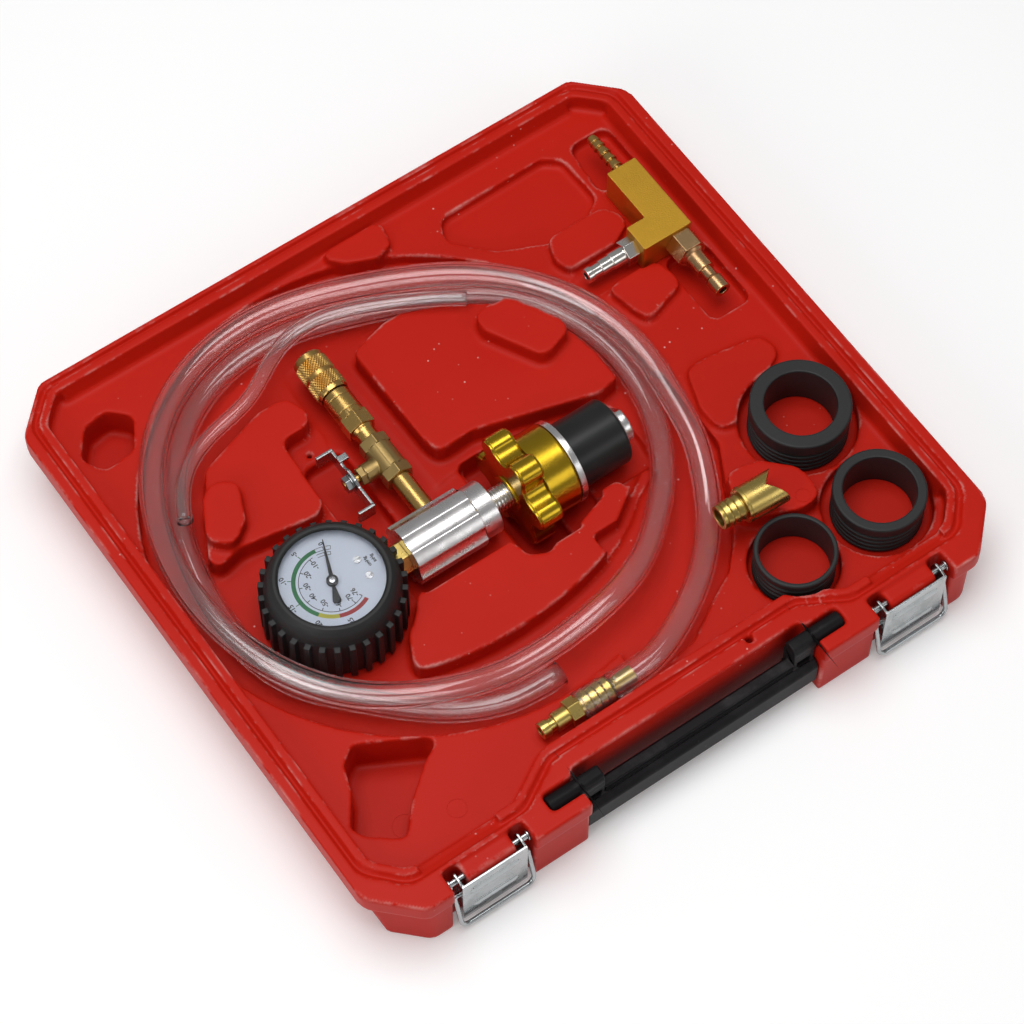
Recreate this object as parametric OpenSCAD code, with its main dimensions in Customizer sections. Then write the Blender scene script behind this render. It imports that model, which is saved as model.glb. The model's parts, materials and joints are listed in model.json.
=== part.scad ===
// Coolant vacuum refill kit in its moulded case half
// Millimetres, +Z up. The case stands on z = 0 with its centre at the origin.
// X runs to the right along the handle side, Y runs from the handle side to the back.

/* [Case] */
// Width of the rim along the left and right sides
rim_side = 12; // [10:0.5:20]
// Width of the rim along the back
rim_back = 8.5; // [7.5:0.5:16]
// Width of the rim along the handle side
rim_front = 20.5; // [19.5:0.5:26]
// Height of the rim above the ground
case_h = 40; // [36:0.5:46]
// Underside of the rim flange
flange_z = 29; // [25:0.5:30.5]
// Cut of the case corners
corner = 20; // [16:1:24]
// Height of the flat deck inside the rim
deck_z = 31; // [30:0.5:32]
// Floor of the hose channel
channel_z = 24; // [20:0.5:24]
// Floor of the ring wells
ring_floor_z = 24.9; // [22:0.1:27]
// Draft angle of the ring wells' walls
ring_draft = 1; // [0.5:0.1:2]
// Height of the raised lands inside the hose loop
plateau_z = 35; // [32:0.5:37]

/* [Handle and latches] */
// Handle pivot behind the front face of the case
handle_in = 11.5; // [10.5:0.1:12]
// Handle pivot below the rim
handle_drop = 4; // [3.5:0.1:5]
// Radius of the handle pivot pins
handle_pin_r = 4; // [3:0.1:4.4]
// Latch centre, distance from the case centre
latch_x = 111; // [105:0.5:113]
// Latch pin behind the front face of the case
latch_in = 6.5; // [6:0.1:7.5]
// Latch pin below the rim
latch_drop = 5; // [4.5:0.1:6]
// Width of the latch lever
latch_w = 33; // [28:0.5:38]

/* [Refill head] */
// Axis of the head across the case
head_y = -11; // [-12:0.5:-10]
// Axis of the head above the ground
head_z = 38; // [38:0.1:39]
// Gauge centre along the case
gauge_x = -96.5; // [-97:0.1:-96]
// Printed face of the dial above the ground
dial_z = 53.6; // [53.4:0.1:53.8]
// Outside radius of the ribbed rubber boot
boot_r = 32.4; // [31:0.1:33]
// Angle of the needle with no vacuum
needle_rest = 68.5; // [60:0.5:80]
// Outside radius of the centre tube
tube_r = 6; // [5.8:0.05:6.1]
// Outside radius of the expanding plug
plug_r = 16; // [14:0.1:16.2]
// End of the plug beside the pressure washer
plug_x0 = 24.5; // [24:0.1:25]
// End of the plug beside the end washer
plug_x1 = 51.5; // [50:0.1:52]

/* [Valve branch] */
// Axis of the branch along the case
valve_x = -39.5; // [-41:0.5:-38]
// Centre of the valve ball across the case
ball_y = 33; // [32.5:0.1:33.5]
// Outside radius of the branch pipes
pipe_r = 5; // [4.6:0.1:5.2]
// Radius of the flow passage
pipe_bore = 3.2; // [2.6:0.1:3.3]

/* [Venturi] */
// Through passage of the block along the case
ven_x = 135; // [134.5:0.1:135.5]
// Suction port of the block across the case
ven_y = 60.6; // [60:0.1:61]
// Passages of the block above the ground
ven_z = 39.2; // [38.8:0.1:39.6]

/* [Adaptor rings] */
// Bore radius shared by the three rings
ring_bore = 16.25; // [15:0.05:16.5]

/* [Hoses] */
// Outside radius of the fill hose
hose_r = 6; // [5.5:0.05:6.1]
// Bore radius of the fill hose
hose_bore = 4.5; // [4.2:0.05:4.8]
// Outside radius of the vent hose
vent_r = 3.7; // [3:0.05:4]
// Bore radius of the vent hose
vent_bore = 2.7; // [2:0.05:2.8]

/* [Hidden] */

// Centre of the hose loop, reach of its channel and height of its lower turn
loop_x = -35;
loop_y = 19;
channel_r = 121.5;
hose_z = 30.4;

// Places of the adaptor rings and radii of their wells
ring_at = [[124.5, -52], [127, -106], [79.5, -108]];
ring_well_r = [27, 25, 20.5];

// The inside of the case is as wide and as deep as the wells and the hose loop need
inner_x = ring_at[1][0] + ring_well_r[1] + 1;
inner_front = ring_well_r[2] - ring_at[2][1] + 5.5;
inner_back = loop_y + channel_r + 5.5;
side_x = inner_x + rim_side;
front_y = -inner_front - rim_front;
back_y = inner_back + rim_back;
handle_y = front_y + handle_in;
handle_z = case_h - handle_drop;
latch_pin_y = front_y + latch_in;
latch_pin_z = case_h - latch_drop;
connector_z = 37.65;

RED = [0.74, 0.05, 0.04];
BLACK = [0.06, 0.06, 0.06];
BRASS = [0.75, 0.56, 0.25];
GOLD = [0.83, 0.62, 0.12];
STEEL = [0.75, 0.76, 0.78];
ALU = [0.82, 0.80, 0.81];
CLEAR = [0.86, 0.80, 0.80];

// Outline helpers
function unit(v) = v / norm(v);
function bend(a, b, c, r, n) =
    let (u = unit(a - b), w = unit(c - b),
         half = acos(max(-1, min(1, u * w))) / 2,
         cut = min(r / tan(half), 0.48 * min(norm(a - b), norm(c - b))),
         rr = cut * tan(half),
         m = b + unit(u + w) * rr / sin(half),
         p = b + u * cut - m,
         q = b + w * cut - m,
         a0 = atan2(p[1], p[0]),
         turn = atan2(p[0] * q[1] - p[1] * q[0], p * q))
    half > 88 ? [b] : [for (i = [0 : n]) m + rr * [cos(a0 + turn * i / n), sin(a0 + turn * i / n)]];
function rounded(p, r, n = 4) =
    let (k = len(p)) [for (i = [0 : k - 1]) each bend(p[(i + k - 1) % k], p[i], p[(i + 1) % k], r, n)];
function case_outline(dx, dy) =
    let (x = side_x - dx, f = front_y + dy, b = back_y - dy, c = corner)
    [[c - x, f], [x - c, f], [x, f + c], [x, b - c], [x - c, b], [c - x, b], [-x, b - c], [-x, f + c]];
function rim_edge(o, back) =
    let (x = inner_x + o, cx = inner_x - 12 + 0.5 * o, f = -inner_front - o, fs = 13 - inner_front - 0.4 * o,
         h = 13 - inner_front - o, b = inner_back + back, bs = inner_back - 12 + 0.4 * o,
         h1 = 88 - 0.3 * o, h0 = 66 - 0.3 * o)
    [[-x, fs], [-cx, f], [-h1, f], [-h0, h], [h0, h], [h1, f], [cx, f], [x, fs], [x, bs], [cx, b], [-cx, b],
     [-x, bs]];

module slab(p, r, z0, z1, n = 4) {
    translate([0, 0, z0]) linear_extrude(z1 - z0) polygon(rounded(p, r, n));
}
module along_x(x0, x1, r) {
    translate([x0, 0, 0]) rotate([0, 90, 0]) cylinder(h = x1 - x0, r = r, $fn = 48);
}
module along_y(y0, y1, r) {
    translate([0, y0, 0]) rotate([-90, 0, 0]) cylinder(h = y1 - y0, r = r, $fn = 48);
}
module cone_y(y0, y1, r0, r1) {
    translate([0, y0, 0]) rotate([-90, 0, 0]) cylinder(h = y1 - y0, r1 = r0, r2 = r1, $fn = 48);
}
module hex_x(x0, x1, af, turn = 0) {
    translate([x0, 0, 0]) rotate([0, 90, 0]) rotate([0, 0, turn])
        cylinder(h = x1 - x0, r = af / 2 / cos(30), $fn = 6);
}
module hex_y(y0, y1, af, turn = 0) {
    translate([0, y0, 0]) rotate([-90, 0, 0]) rotate([0, 0, turn])
        cylinder(h = y1 - y0, r = af / 2 / cos(30), $fn = 6);
}
module head_at() translate([0, head_y, head_z]) children();
module gauge_at() translate([gauge_x, head_y, 0]) children();
module valve_at() translate([valve_x, 0, head_z]) children();

// Hose routes: the fill hose winds clockwise, one low inner turn and one raised outer turn
function bell(t, c, w) = exp(-pow((t - c) / w, 2));
function wrap(t) = let (m = t % 360) m < -90 ? m + 360 : m >= 270 ? m - 360 : m;
function outer_r(t) = let (a = wrap(t))
    110 + 4.9 * cos(2 * a) - 4.8 * sin(2 * a) + 3.7 * cos(3 * a) - 2.4 * sin(3 * a) + 5 * bell(a, 35, 30);
function ramp(u) = let (c = max(0, min(1, u))) c * c * (3 - 2 * c);
function bed(t) = let (a = wrap(t)) 9.5 - 7 * bell(a, 206, 28) - 7.5 * bell(a, 30, 32);
function bed_r(t) = outer_r(t) - bed(t);
function spread(t) = let (a = wrap(t)) bed(t) - 18.5 * (ramp((a - 216) / 46) + ramp((-40 - a) / 46));
function inner_r(t) = outer_r(t) - spread(t);
function lift(t) = sqrt(159 - pow(spread(t), 2));
function polar(t, r, z) = [loop_x + r * cos(t), loop_y + r * sin(t), z];
function fill_at(t) = let (s = ramp((-15 - t) / 72))
    polar(t, inner_r(t) + s * spread(t), hose_z + s * lift(t));
tail = [[81, -24, 39.6], [77.5, -38, 39], [71.5, -52, 37.8], [63.5, -66, 36.6], [53.5, -79, 36.2],
    [41.5, -90.5, 36.5], [28, -100, 37], [14, -107.5, 37.4], [2, -112, 37.6], [-8, -113.5, connector_z],
    [-24, -113.5, connector_z]];
fill_route = concat([for (t = [270 : -10 : -370]) fill_at(t)], tail);
function vent_r_at(t) = outer_r(t) - 11 - 20 * bell(t, 117, 22);
vent_route = [for (t = [158 : -6.5 : 41]) polar(t, vent_r_at(t), 39.8 - 0.5 * bell(t, 117, 18))];

function along(p, i) = unit(p[min(i + 1, len(p) - 1)] - p[max(i - 1, 0)]);
function ring_pts(p, i, r, n) =
    let (t = along(p, i), s = unit(cross(t, [0, 0, 1])), u = cross(s, t))
    [for (k = [0 : n - 1]) p[i] + r * (cos(360 * (k + 0.5) / n) * s + sin(360 * (k + 0.5) / n) * u)];
function skin(a, n, m, flip) = [for (i = [0 : m - 2], k = [0 : n - 1])
    let (p = a + i * n + k, q = a + i * n + (k + 1) % n, s = p + n, t = q + n)
    each flip ? [[p, s, q], [q, s, t]] : [[p, q, s], [q, t, s]]];
function rim(a, b, n, flip) = [for (k = [0 : n - 1])
    let (p = a + k, q = a + (k + 1) % n, s = b + k, t = b + (k + 1) % n)
    each flip ? [[p, q, s], [q, t, s]] : [[p, s, q], [q, s, t]]];
module hose(p, r, bore, n = 8) {
    m = len(p);
    pts = concat([for (i = [0 : m - 1]) each ring_pts(p, i, r, n)],
                 [for (i = [0 : m - 1]) each ring_pts(p, i, bore, n)]);
    polyhedron(pts, concat(skin(0, n, m, false), skin(n * m, n, m, true),
        rim(0, n * m, n, false), rim(n * (m - 1), n * (2 * m - 1), n, true)));
}
least_gap = min([for (i = [0 : len(fill_route) - 1], j = [i + 4 : 1 : len(fill_route) - 1])
    norm(fill_route[i] - fill_route[j])]) - 2 * hose_r;
vent_gap = min([for (a = vent_route, b = fill_route) norm(a - b)]) - hose_r - vent_r;
echo(least_gap = least_gap, vent_gap = vent_gap);

// Case half: raised lands, wells and rims of the moulding
inner_edge = rim_edge(0, 0);
bead_edge = rim_edge(4, 4);
groove_edge = rim_edge(7, 6);
tail_well = [[60, 10], [90, 8], [89, -24], [89, -40], [78, -60], [66, -82], [54, -95], [40, -102],
    [22, -113], [4, -116], [-10, -112], [-6, -92], [30, -80], [60, -50]];
big_land = concat([[-19, 34], [-20, 90], [2, 96]],
    [for (t = [60 : -8 : -4]) [loop_x, loop_y] + (bed_r(t) - 7.4) * [cos(t), sin(t)]],
    [[70, 11], [59, 9], [1, 26], [-17, 25]]);
front_land = concat([[41, -39], [40, -31], [12, -33], [-5, -44], [-14, -40], [-16, -29], [-56, -25],
    [-70, -31], [-80, -44]],
    [for (t = [236 : 8 : 324]) [loop_x, loop_y] + (bed_r(t) - 7.4) * [cos(t), sin(t)]],
    [[62, -33], [54, -30]]);
front_slot = [[14, -48], [28, -48], [41, -39], [54, -26], [74, -28], [72, -49], [32, -59], [14, -58]];
left_land = [[-107, 77], [-73, 88], [-57, 88], [-53, 76], [-57, 70], [-71, 70], [-73, 33], [-79, 29],
    [-115, 35], [-128, 32], [-130, 38]];
left_pad = [[-118, 61], [-110, 67], [-99, 61], [-107, 42], [-118, 34], [-127, 43]];
back_pad = [[34, 72], [52, 70], [64, 48], [65, 40], [47, 34], [32, 62]];
octagon = [[79, -58], [95, -62], [107, -75], [107, -92], [94, -92], [84, -88], [69, -80]];
right_land = [[98, -3], [107, -2], [137, -7], [139, -19], [103, -38], [92, -37], [91, -24]];
back_block = [for (p = [[-6, -4], [29, -4], [29, -10], [27, -18], [18, -21], [4, -15]]) [p[0], p[1] + inner_back]];
back_well = [[50, 118], [55, 129], [112, 130], [120, 124], [121, 98], [111, 91], [92, 88], [66, 100]];
corner_well = [[-138, 128], [-126, 130], [-117, 121], [-126, 106], [-142, 104], [-148, 115]];
y_slot = [[-127, -70], [-94, -88], [-106, -94], [-121, -106], [-132, -119], [-146, -108], [-149, -102],
    [-139, -88], [-135, -76]];
bump_back = [[87, 89], [101, 90], [118, 89], [123, 81], [122, 75], [112, 69.5], [86, 69], [83, 77]];
bump_front = [[98, 52], [106, 52], [121, 52], [124, 39], [122, 34], [100, 27], [97, 35], [94, 50]];
head_well = [[-64, 8], [-64, -30], [62, -30], [64, -14], [62, 7], [20, 18], [-16, 18]];
valve_well = [[-70, 8], [-70, 58], [-52, 60], [-50, 104], [-28, 104], [-24, 20], [-24, 8]];

module draft_cuts() {
    for (a = [0, 180]) rotate([0, 0, a])
        translate([side_x - 3, -200, flange_z]) rotate([0, 12, 0]) translate([0, 0, -60]) cube([30, 400, 60]);
    translate([-200, back_y - 2, flange_z]) rotate([-12, 0, 0]) translate([0, 0, -60]) cube([400, 30, 60]);
}
module pin_slot(x0, x1) {
    translate([x0, handle_y, handle_z]) rotate([0, 90, 0]) cylinder(h = x1 - x0, r = handle_pin_r + 0.4, $fn = 40);
    translate([x0, handle_y - handle_pin_r - 0.4, handle_z]) cube([x1 - x0, 2 * handle_pin_r + 0.8, 10]);
}
module latch_recess() {
    h = latch_w / 2 + 4;
    low = latch_pin_z - 10;
    translate([0, front_y - 5.5, 0]) {
        translate([-h, 0, -1]) cube([2 * h, latch_in + 6.5, low + 2]);
        difference() {
            translate([-h, 0, low]) cube([2 * h, latch_in + 3.5, case_h + 1 - low]);
            translate([0, latch_in + 5.5, latch_pin_z]) along_x(7 - h, h - 7, 4.1);
            translate([7 - h, latch_in + 1.4, low - 1]) cube([2 * h - 14, 9, 11]);
        }
        translate([7.5 - h, latch_in + 1.5, case_h - 1.5]) cube([2 * h - 15, 9, 5]);
        for (x = [-h, h - 8]) translate([x, 0, low]) cube([8, latch_in + 10.5, case_h + 1 - low]);
    }
    translate([0, latch_pin_y, latch_pin_z]) along_x(-h - 0.5, h + 0.5, 1.55);
}
module tray_shell() {
    difference() {
        union() {
            slab(case_outline(0, 0), 8, flange_z, case_h);
            difference() {
                slab(case_outline(3, 2), 8, 0, flange_z);
                draft_cuts();
            }
        }
        translate([0, handle_y, 0])
            slab([[-61.5, -27], [61.5, -27], [61.5, 5.5], [59.5, 7.5], [-59.5, 7.5], [-61.5, 5.5]], 3, -1, case_h + 1);
        for (s = [-1, 1]) translate([s * latch_x, 0, 0]) latch_recess();
        pin_slot(60, 77.5);
        pin_slot(-77.5, -60);
        slab(inner_edge, 10, deck_z, case_h + 1);
        difference() {
            slab(groove_edge, 12, case_h - 2.2, case_h + 1);
            slab(bead_edge, 11, case_h - 3, case_h + 2);
        }
        for (s = [-1, 1]) translate([s * (latch_x + 7) - 20, -inner_front - 4.6, case_h - 3.4]) cube([40, 6, 5]);
        translate([38, 4.5 - inner_front, case_h - 10]) cylinder(h = 12, r = 2, $fn = 24);
    }
}
module tray_walls() {
    slope = [[1, 20], [-4.5, 20], [-4.5, 25], [0, case_h - 0.5], [1, case_h - 0.5]];
    rotate([90, 0, 90]) translate([inner_back, 0, 15 - inner_x])
        linear_extrude(2 * inner_x - 30) polygon(slope);
    rotate([90, 0, 0]) translate([inner_x, 0, 14 - inner_back])
        linear_extrude(inner_back + inner_front - 30) polygon(slope);
}
module tray_lands() {
    z0 = channel_z - 1;
    slab(big_land, 5, z0, plateau_z, 3);
    slab(back_pad, 6, z0, plateau_z + 9);
    slab(left_land, 5, z0, plateau_z);
    slab(left_pad, 6, z0, plateau_z + 7);
    difference() {
        slab(front_land, 5, z0, plateau_z, 3);
        slab(front_slot, 3, z0 + 3, plateau_z + 5);
    }
    slab(octagon, 6, z0, plateau_z + 6);
    slab(right_land, 6, z0, plateau_z - 1);
    slab(back_block, 4, z0, plateau_z + 1);
    slab(bump_back, 5, z0, plateau_z + 1);
    slab(bump_front, 5, z0, plateau_z + 1);
}
module case_tray() color(RED) difference() {
    union() {
        difference() {
            union() {
                tray_shell();
                tray_walls();
            }
            translate([0, 0, channel_z]) linear_extrude(case_h + 1 - channel_z) {
                intersection() {
                    polygon(rounded(inner_edge, 10));
                    translate([loop_x, loop_y]) circle(r = channel_r, $fn = 120);
                }
                polygon(rounded(tail_well, 8));
            }
            slab(back_well, 6, 26, case_h + 1);
        }
        tray_lands();
    }
    for (i = [0 : 2]) translate([ring_at[i][0], ring_at[i][1], ring_floor_z])
        cylinder(h = 40, r1 = ring_well_r[i], r2 = ring_well_r[i] + 40 * tan(ring_draft), $fn = 72);
    translate([0, 0, ring_floor_z]) linear_extrude(40) {
        polygon(rounded([[124, 98], [148, 98], [148, 128], [127, 128]], 5));
        polygon(rounded([[125, 12], [147, 12], [147, 51], [125, 51]], 5));
    }
    slab(head_well, 6, 23.2, 50);
    slab([[29, -30], [62, -30], [64, -14], [62, 7], [29, 12]], 4, 21.7, 50);
    slab([[-12, -40], [12, -40], [31, -34], [31, 12], [12, 20], [-12, 20]], 4, 16, 50);
    translate([-9, -42, 9.5]) cube([22.5, 62, 40]);
    slab(valve_well, 6, 23.6, 50);
    slab([[-70, 9], [-70, 57], [-49, 57], [-49, 9]], 5, 16, 50);
    slab(corner_well, 5, 14, 50);
    slab(y_slot, 4, 10, 50);
    slab([[113, 51], [145, 51], [145, 98], [124, 98], [124, 69], [113, 69]], 3, 30.6, 50);
    slab([[82, 53], [118, 53], [118, 68.5], [82, 67]], 3, 30, 50);
    translate([gauge_x, head_y, 24.4]) cylinder(h = 40, r = boot_r + 3, $fn = 96);
    for (p = [[-69, 25], [-62, 62]]) translate([p[0], p[1], 8]) cylinder(h = 40, r = 1.2, $fn = 20);
}

// Carrying handle and latches
module handle() color(BLACK) translate([0, handle_y, handle_z]) {
    for (s = [-1, 1]) {
        along_x(s > 0 ? 50 : -77, s > 0 ? 77 : -50, handle_pin_r);
        difference() {
            rotate([90, 0, 90]) translate([0, 0, s > 0 ? 50 : -61]) linear_extrude(11)
                polygon(rounded([[-4, -28], [3.5, -28], [4.2, -3], [3, 4], [-3, 4], [-4.2, -3]], 2));
            translate([s * 55.5 - 3.5, -7, -22]) cube([7, 5, 15]);
        }
    }
    rotate([90, 0, 90]) translate([0, 0, -61]) linear_extrude(122)
        polygon(rounded([[-8, -27], [-5.5, -28.4], [2, -28], [4, -25], [4, -15], [1.5, -11], [-5, -11], [-8, -14]], 3));
    rotate([90, 0, 90]) translate([0, 0, -50.5]) linear_extrude(101)
        polygon([[-3.5, -12], [1, -12], [1, -8], [-3.5, -8]]);
}
module latch_pins() color(STEEL) for (s = [-1, 1])
    translate([s * latch_x, latch_pin_y, latch_pin_z]) {
        e = latch_w / 2 + 3.3;
        along_x(-e, e, 1.5);
        along_x(-e - 0.5, 0.5 - e, 2.4);
        along_x(e - 0.5, e + 0.5, 2.4);
    }
module pressed_rib(x, z, r) intersection() {
    translate([0, r - 6.5, z]) {
        along_x(-x, x, r);
        for (e = [-x, x]) translate([e, 0, 0]) sphere(r = r, $fn = 40);
    }
    translate([-x - r, -7, z - r]) cube([2 * x + 2 * r, 2, 2 * r]);
}
module latch_lever() color(STEEL) translate([0, latch_pin_y, latch_pin_z]) {
    difference() {
        union() {
            translate([-latch_w / 2, -5.6, -30]) cube([latch_w, 1.2, 32]);
            for (x = [-latch_w / 2, latch_w / 2 - 1.2])
                translate([x, 0, 0]) rotate([90, 0, 90]) linear_extrude(1.2)
                    polygon(rounded([[-5, 2], [-5, -29.6], [-4, -29.6], [-2, -20], [0.2, -10.5], [3.4, -5], [3.6, -2],
                        [2.4, 3], [-2, 3]], 1.5));
            pressed_rib(latch_w / 2 - 6, -6, 4);
            pressed_rib(latch_w / 2 - 7, -21, 3);
        }
        along_x(-30, 30, 1.56);
        translate([0, -2.3, -10]) along_x(-30, 30, 1.18);
    }
}
module latch_bail() color(STEEL) translate([0, latch_pin_y - 2.3, latch_pin_z - 10]) rotate([-15, 0, 0]) {
    e = latch_w / 2 + 2.1;
    for (s = [-1, 1]) {
        translate([s * e, 0, -17.6]) cylinder(h = 17.6, r = 1.1, $fn = 24);
        translate([s * e, 0, 0]) sphere(r = 1.1, $fn = 24);
        translate([s * (e - 4), 0, -17.6]) rotate([90, 0, 0]) rotate([0, 0, s > 0 ? 270 : 180])
            rotate_extrude(angle = 90, $fn = 48) translate([4, 0]) circle(r = 1.1, $fn = 24);
        along_x(s > 0 ? e - 4 : -e, s > 0 ? e : 4 - e, 1.1);
    }
    translate([0, 0, -21.6]) along_x(4 - e, e - 4, 1.1);
}
module latch_lever_left() translate([-latch_x, 0, 0]) latch_lever();
module latch_lever_right() translate([latch_x, 0, 0]) latch_lever();
module latch_bail_left() translate([-latch_x, 0, 0]) latch_bail();
module latch_bail_right() translate([latch_x, 0, 0]) latch_bail();

// Vacuum gauge
module gauge_boot() color(BLACK) gauge_at() difference() {
    union() {
        rotate_extrude($fn = 96) polygon([[20, 24.7], [29.3, 24.7], [30, 25.5], [30, 49], [29.2, 53.5], [27.7, 57],
            [25.6, 59], [24.2, 59], [23.2, 58.2], [23.2, 57.5], [27.3, 57.5], [27.3, 26.7], [20, 26.7]]);
        for (i = [0 : 29]) rotate([0, 0, 12 * i]) translate([28.6, -1.4, 25.9]) cube([boot_r - 28.6, 2.8, 24.6]);
    }
    translate([0, 0, head_z]) along_x(20, 40, 8.4);
}
module gauge_case() color(BLACK) gauge_at() difference() {
    translate([0, 0, 26.9]) cylinder(h = 30.4, r = 27, $fn = 96);
    translate([0, 0, 28.3]) cylinder(h = 40, r = 25.5, $fn = 96);
    translate([0, 0, head_z]) along_x(20, 40, 6.5);
}
module gauge_dial() color([0.90, 0.93, 0.96]) gauge_at() difference() {
    translate([0, 0, dial_z - 0.8]) cylinder(h = 0.8, r = 25.2, $fn = 96);
    translate([0, 0, 40]) cylinder(h = 30, r = 1.4, $fn = 24);
    for (p = [[14.5, 2.7], [14.7, -6.5]]) translate([p[0], p[1], 40]) cylinder(h = 30, r = 1.05, $fn = 24);
}
module dial_screws() color(STEEL) gauge_at() for (p = [[14.5, 2.7], [14.7, -6.5]])
    translate([p[0], p[1], 0]) difference() {
        union() {
            translate([0, 0, dial_z]) cylinder(h = 0.7, r = 1.8, $fn = 32);
            translate([0, 0, dial_z - 3]) cylinder(h = 3.2, r = 0.95, $fn = 24);
        }
        translate([-2, -0.25, dial_z + 0.35]) cube([4, 0.5, 1]);
    }
function teeth(n, rp, half, from, to) = [for (i = [from : to])
    let (a = 360 * i / n) each [
        (rp - 0.6) * [cos(a - 1.9 * half), sin(a - 1.9 * half)],
        (rp + 0.36) * [cos(a - 0.6 * half), sin(a - 0.6 * half)],
        (rp + 0.36) * [cos(a + 0.6 * half), sin(a + 0.6 * half)],
        (rp - 0.6) * [cos(a + 1.9 * half), sin(a + 1.9 * half)]]];
module gauge_needle() color(BLACK) gauge_at() {
    translate([0, 0, dial_z + 0.95]) linear_extrude(0.5) rotate([0, 0, needle_rest])
        polygon([[-11, -1.5], [-10, -1.9], [-3, -0.7], [3, -0.9], [20.4, -0.2], [20.4, 0.2], [3, 0.9], [-3, 0.7],
            [-10, 1.9], [-11, 1.5]]);
    translate([0, 0, dial_z + 0.3]) cylinder(h = 1.6, r = 2.6, $fn = 40);
    translate([0, 0, 40.2]) cylinder(h = dial_z - 39.6, r = 0.8, $fn = 24);
    translate([0, 0, 42]) linear_extrude(3.4) rotate(15) polygon(teeth(12, 3, 5.2, 0, 11));
}
module sector_gear() color(BRASS) gauge_at() translate([-15, 0, 0]) {
    translate([0, 0, 43]) linear_extrude(1.2) polygon(concat([[0, -2]], teeth(48, 12, 1.3, -1, 10), [[-1.5, 2]]));
    translate([0, 0, 40.2]) cylinder(h = 7, r = 0.8, $fn = 24);
    translate([0, 0, 42.4]) cylinder(h = 2.4, r = 2.2, $fn = 32);
}
module gauge_movement() color(BRASS) gauge_at() difference() {
    union() {
        for (z = [38.6, 46]) translate([-18, -5, z]) cube([25, 10, 1.4]);
        for (y = [-4, 4]) translate([5, y, 28.3]) cylinder(h = 19, r = 1, $fn = 24);
        for (p = [[14.5, 2.7], [14.7, -6.5]]) translate([p[0], p[1], 46]) cylinder(h = dial_z - 46.8, r = 1.7, $fn = 24);
        translate([4, -9, 46]) cube([13, 14, 1.4]);
        translate([7.5, -4, 38.6]) cube([4.7, 8, 8]);
    }
    for (x = [0, -15]) translate([x, 0, 40]) cylinder(h = 12, r = 0.86, $fn = 24);
    for (p = [[14.5, 2.7], [14.7, -6.5]]) translate([p[0], p[1], 48]) cylinder(h = 10, r = 1, $fn = 24);
}
module bourdon_tube() color(BRASS) gauge_at() {
    translate([0, 0, 31]) rotate([0, 0, 28]) rotate_extrude(angle = 242, $fn = 96)
        translate([20, 0]) square([1.8, 6.4]);
    rotate([0, 0, 268]) translate([19.6, -1.2, 30.6]) cube([2.6, 3, 7.2]);
}
module gauge_lens() color([0.9, 0.95, 1, 0.4]) gauge_at()
    translate([0, 0, 55.9]) cylinder(h = 1.5, r = 25.3, $fn = 96);
module gauge_socket() color(BRASS) difference() {
    head_at() {
        translate([gauge_x + 12.5, -7, -8.5]) cube([11, 16, 16.2]);
        along_x(gauge_x + 20, -66, 6.3);
        hex_x(-66.5, -60, 14, 30);
        along_x(-60.5, -50, 6.2);
    }
    head_at() along_x(gauge_x + 16, -40, 2.2);
}

// Manifold and expanding plug
module manifold() color(ALU) difference() {
    head_at() difference() {
        union() {
            along_x(-60, -25, 14.5);
            along_x(-25.5, -16, 12.85);
        }
        for (a = [0 : 60 : 300]) rotate([a + 12, 0, 0]) translate([0, 0, 22]) along_x(-70, -24.9, 9);
    }
    head_at() {
        along_x(-61, -49.5, 6.25);
        along_x(-50, -26, 3.8);
        along_x(-27, -10, 6.05);
    }
    valve_at() along_y(-11, 10, 3);
    valve_at() along_y(-3, 10, 5.05);
}
module centre_tube() color(STEEL) head_at() difference() {
    along_x(-26.5, 57.5, tube_r);
    along_x(-30, 60, 4);
    for (i = [0 : 5]) translate([-15 + 1.75 * i, 0, 0]) rotate([0, 90, 0])
        rotate_extrude($fn = 48) polygon([[5.45, 0], [6.2, -0.55], [6.2, 0.55]]);
}
module star_2d(inset) difference() {
    union() {
        circle(r = 22.3 - inset, $fn = 96);
        for (a = [0 : 60 : 300]) rotate(a) translate([20.6, 0]) circle(r = 6.4 - inset, $fn = 48);
    }
    for (a = [30 : 60 : 330]) rotate(a) translate([26, 0]) circle(r = 7 + inset, $fn = 48);
}
module knob() color(GOLD) head_at() difference() {
    union() {
        translate([-4, 0, 0]) rotate([0, 90, 0]) rotate([0, 0, 14]) linear_extrude(10) star_2d(0);
        translate([-5, 0, 0]) rotate([0, 90, 0]) rotate([0, 0, 14]) linear_extrude(12) star_2d(0.8);
        along_x(6.4, 20.6, 20);
        translate([20.6, 0, 0]) rotate([0, 90, 0]) cylinder(h = 0.9, r1 = 20, r2 = 19.1, $fn = 72);
        along_x(-6, -4, 9);
    }
    along_x(-10, 30, tube_r + 0.08);
}
module pressure_washer() color(STEEL) head_at() difference() {
    along_x(plug_x0 - 3, plug_x0, 20);
    along_x(20, 30, tube_r + 0.08);
}
module rubber_plug() color(BLACK) head_at() translate([plug_x0, 0, 0]) rotate([0, 90, 0])
    rotate_extrude($fn = 72) polygon([[6.2, 0], [plug_r - 0.8, 0], [plug_r, 0.8], [plug_r, plug_x1 - plug_x0 - 1],
        [plug_r - 1, plug_x1 - plug_x0], [6.2, plug_x1 - plug_x0]]);
module end_washer() color(STEEL) head_at() difference() {
    union() {
        along_x(plug_x1, plug_x1 + 0.9, 12.6);
        translate([plug_x1 + 0.9, 0, 0]) rotate([0, 90, 0]) cylinder(h = 1.1, r1 = 12.6, r2 = 10.4, $fn = 72);
    }
    along_x(50, 60, tube_r + 0.05);
}
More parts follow.
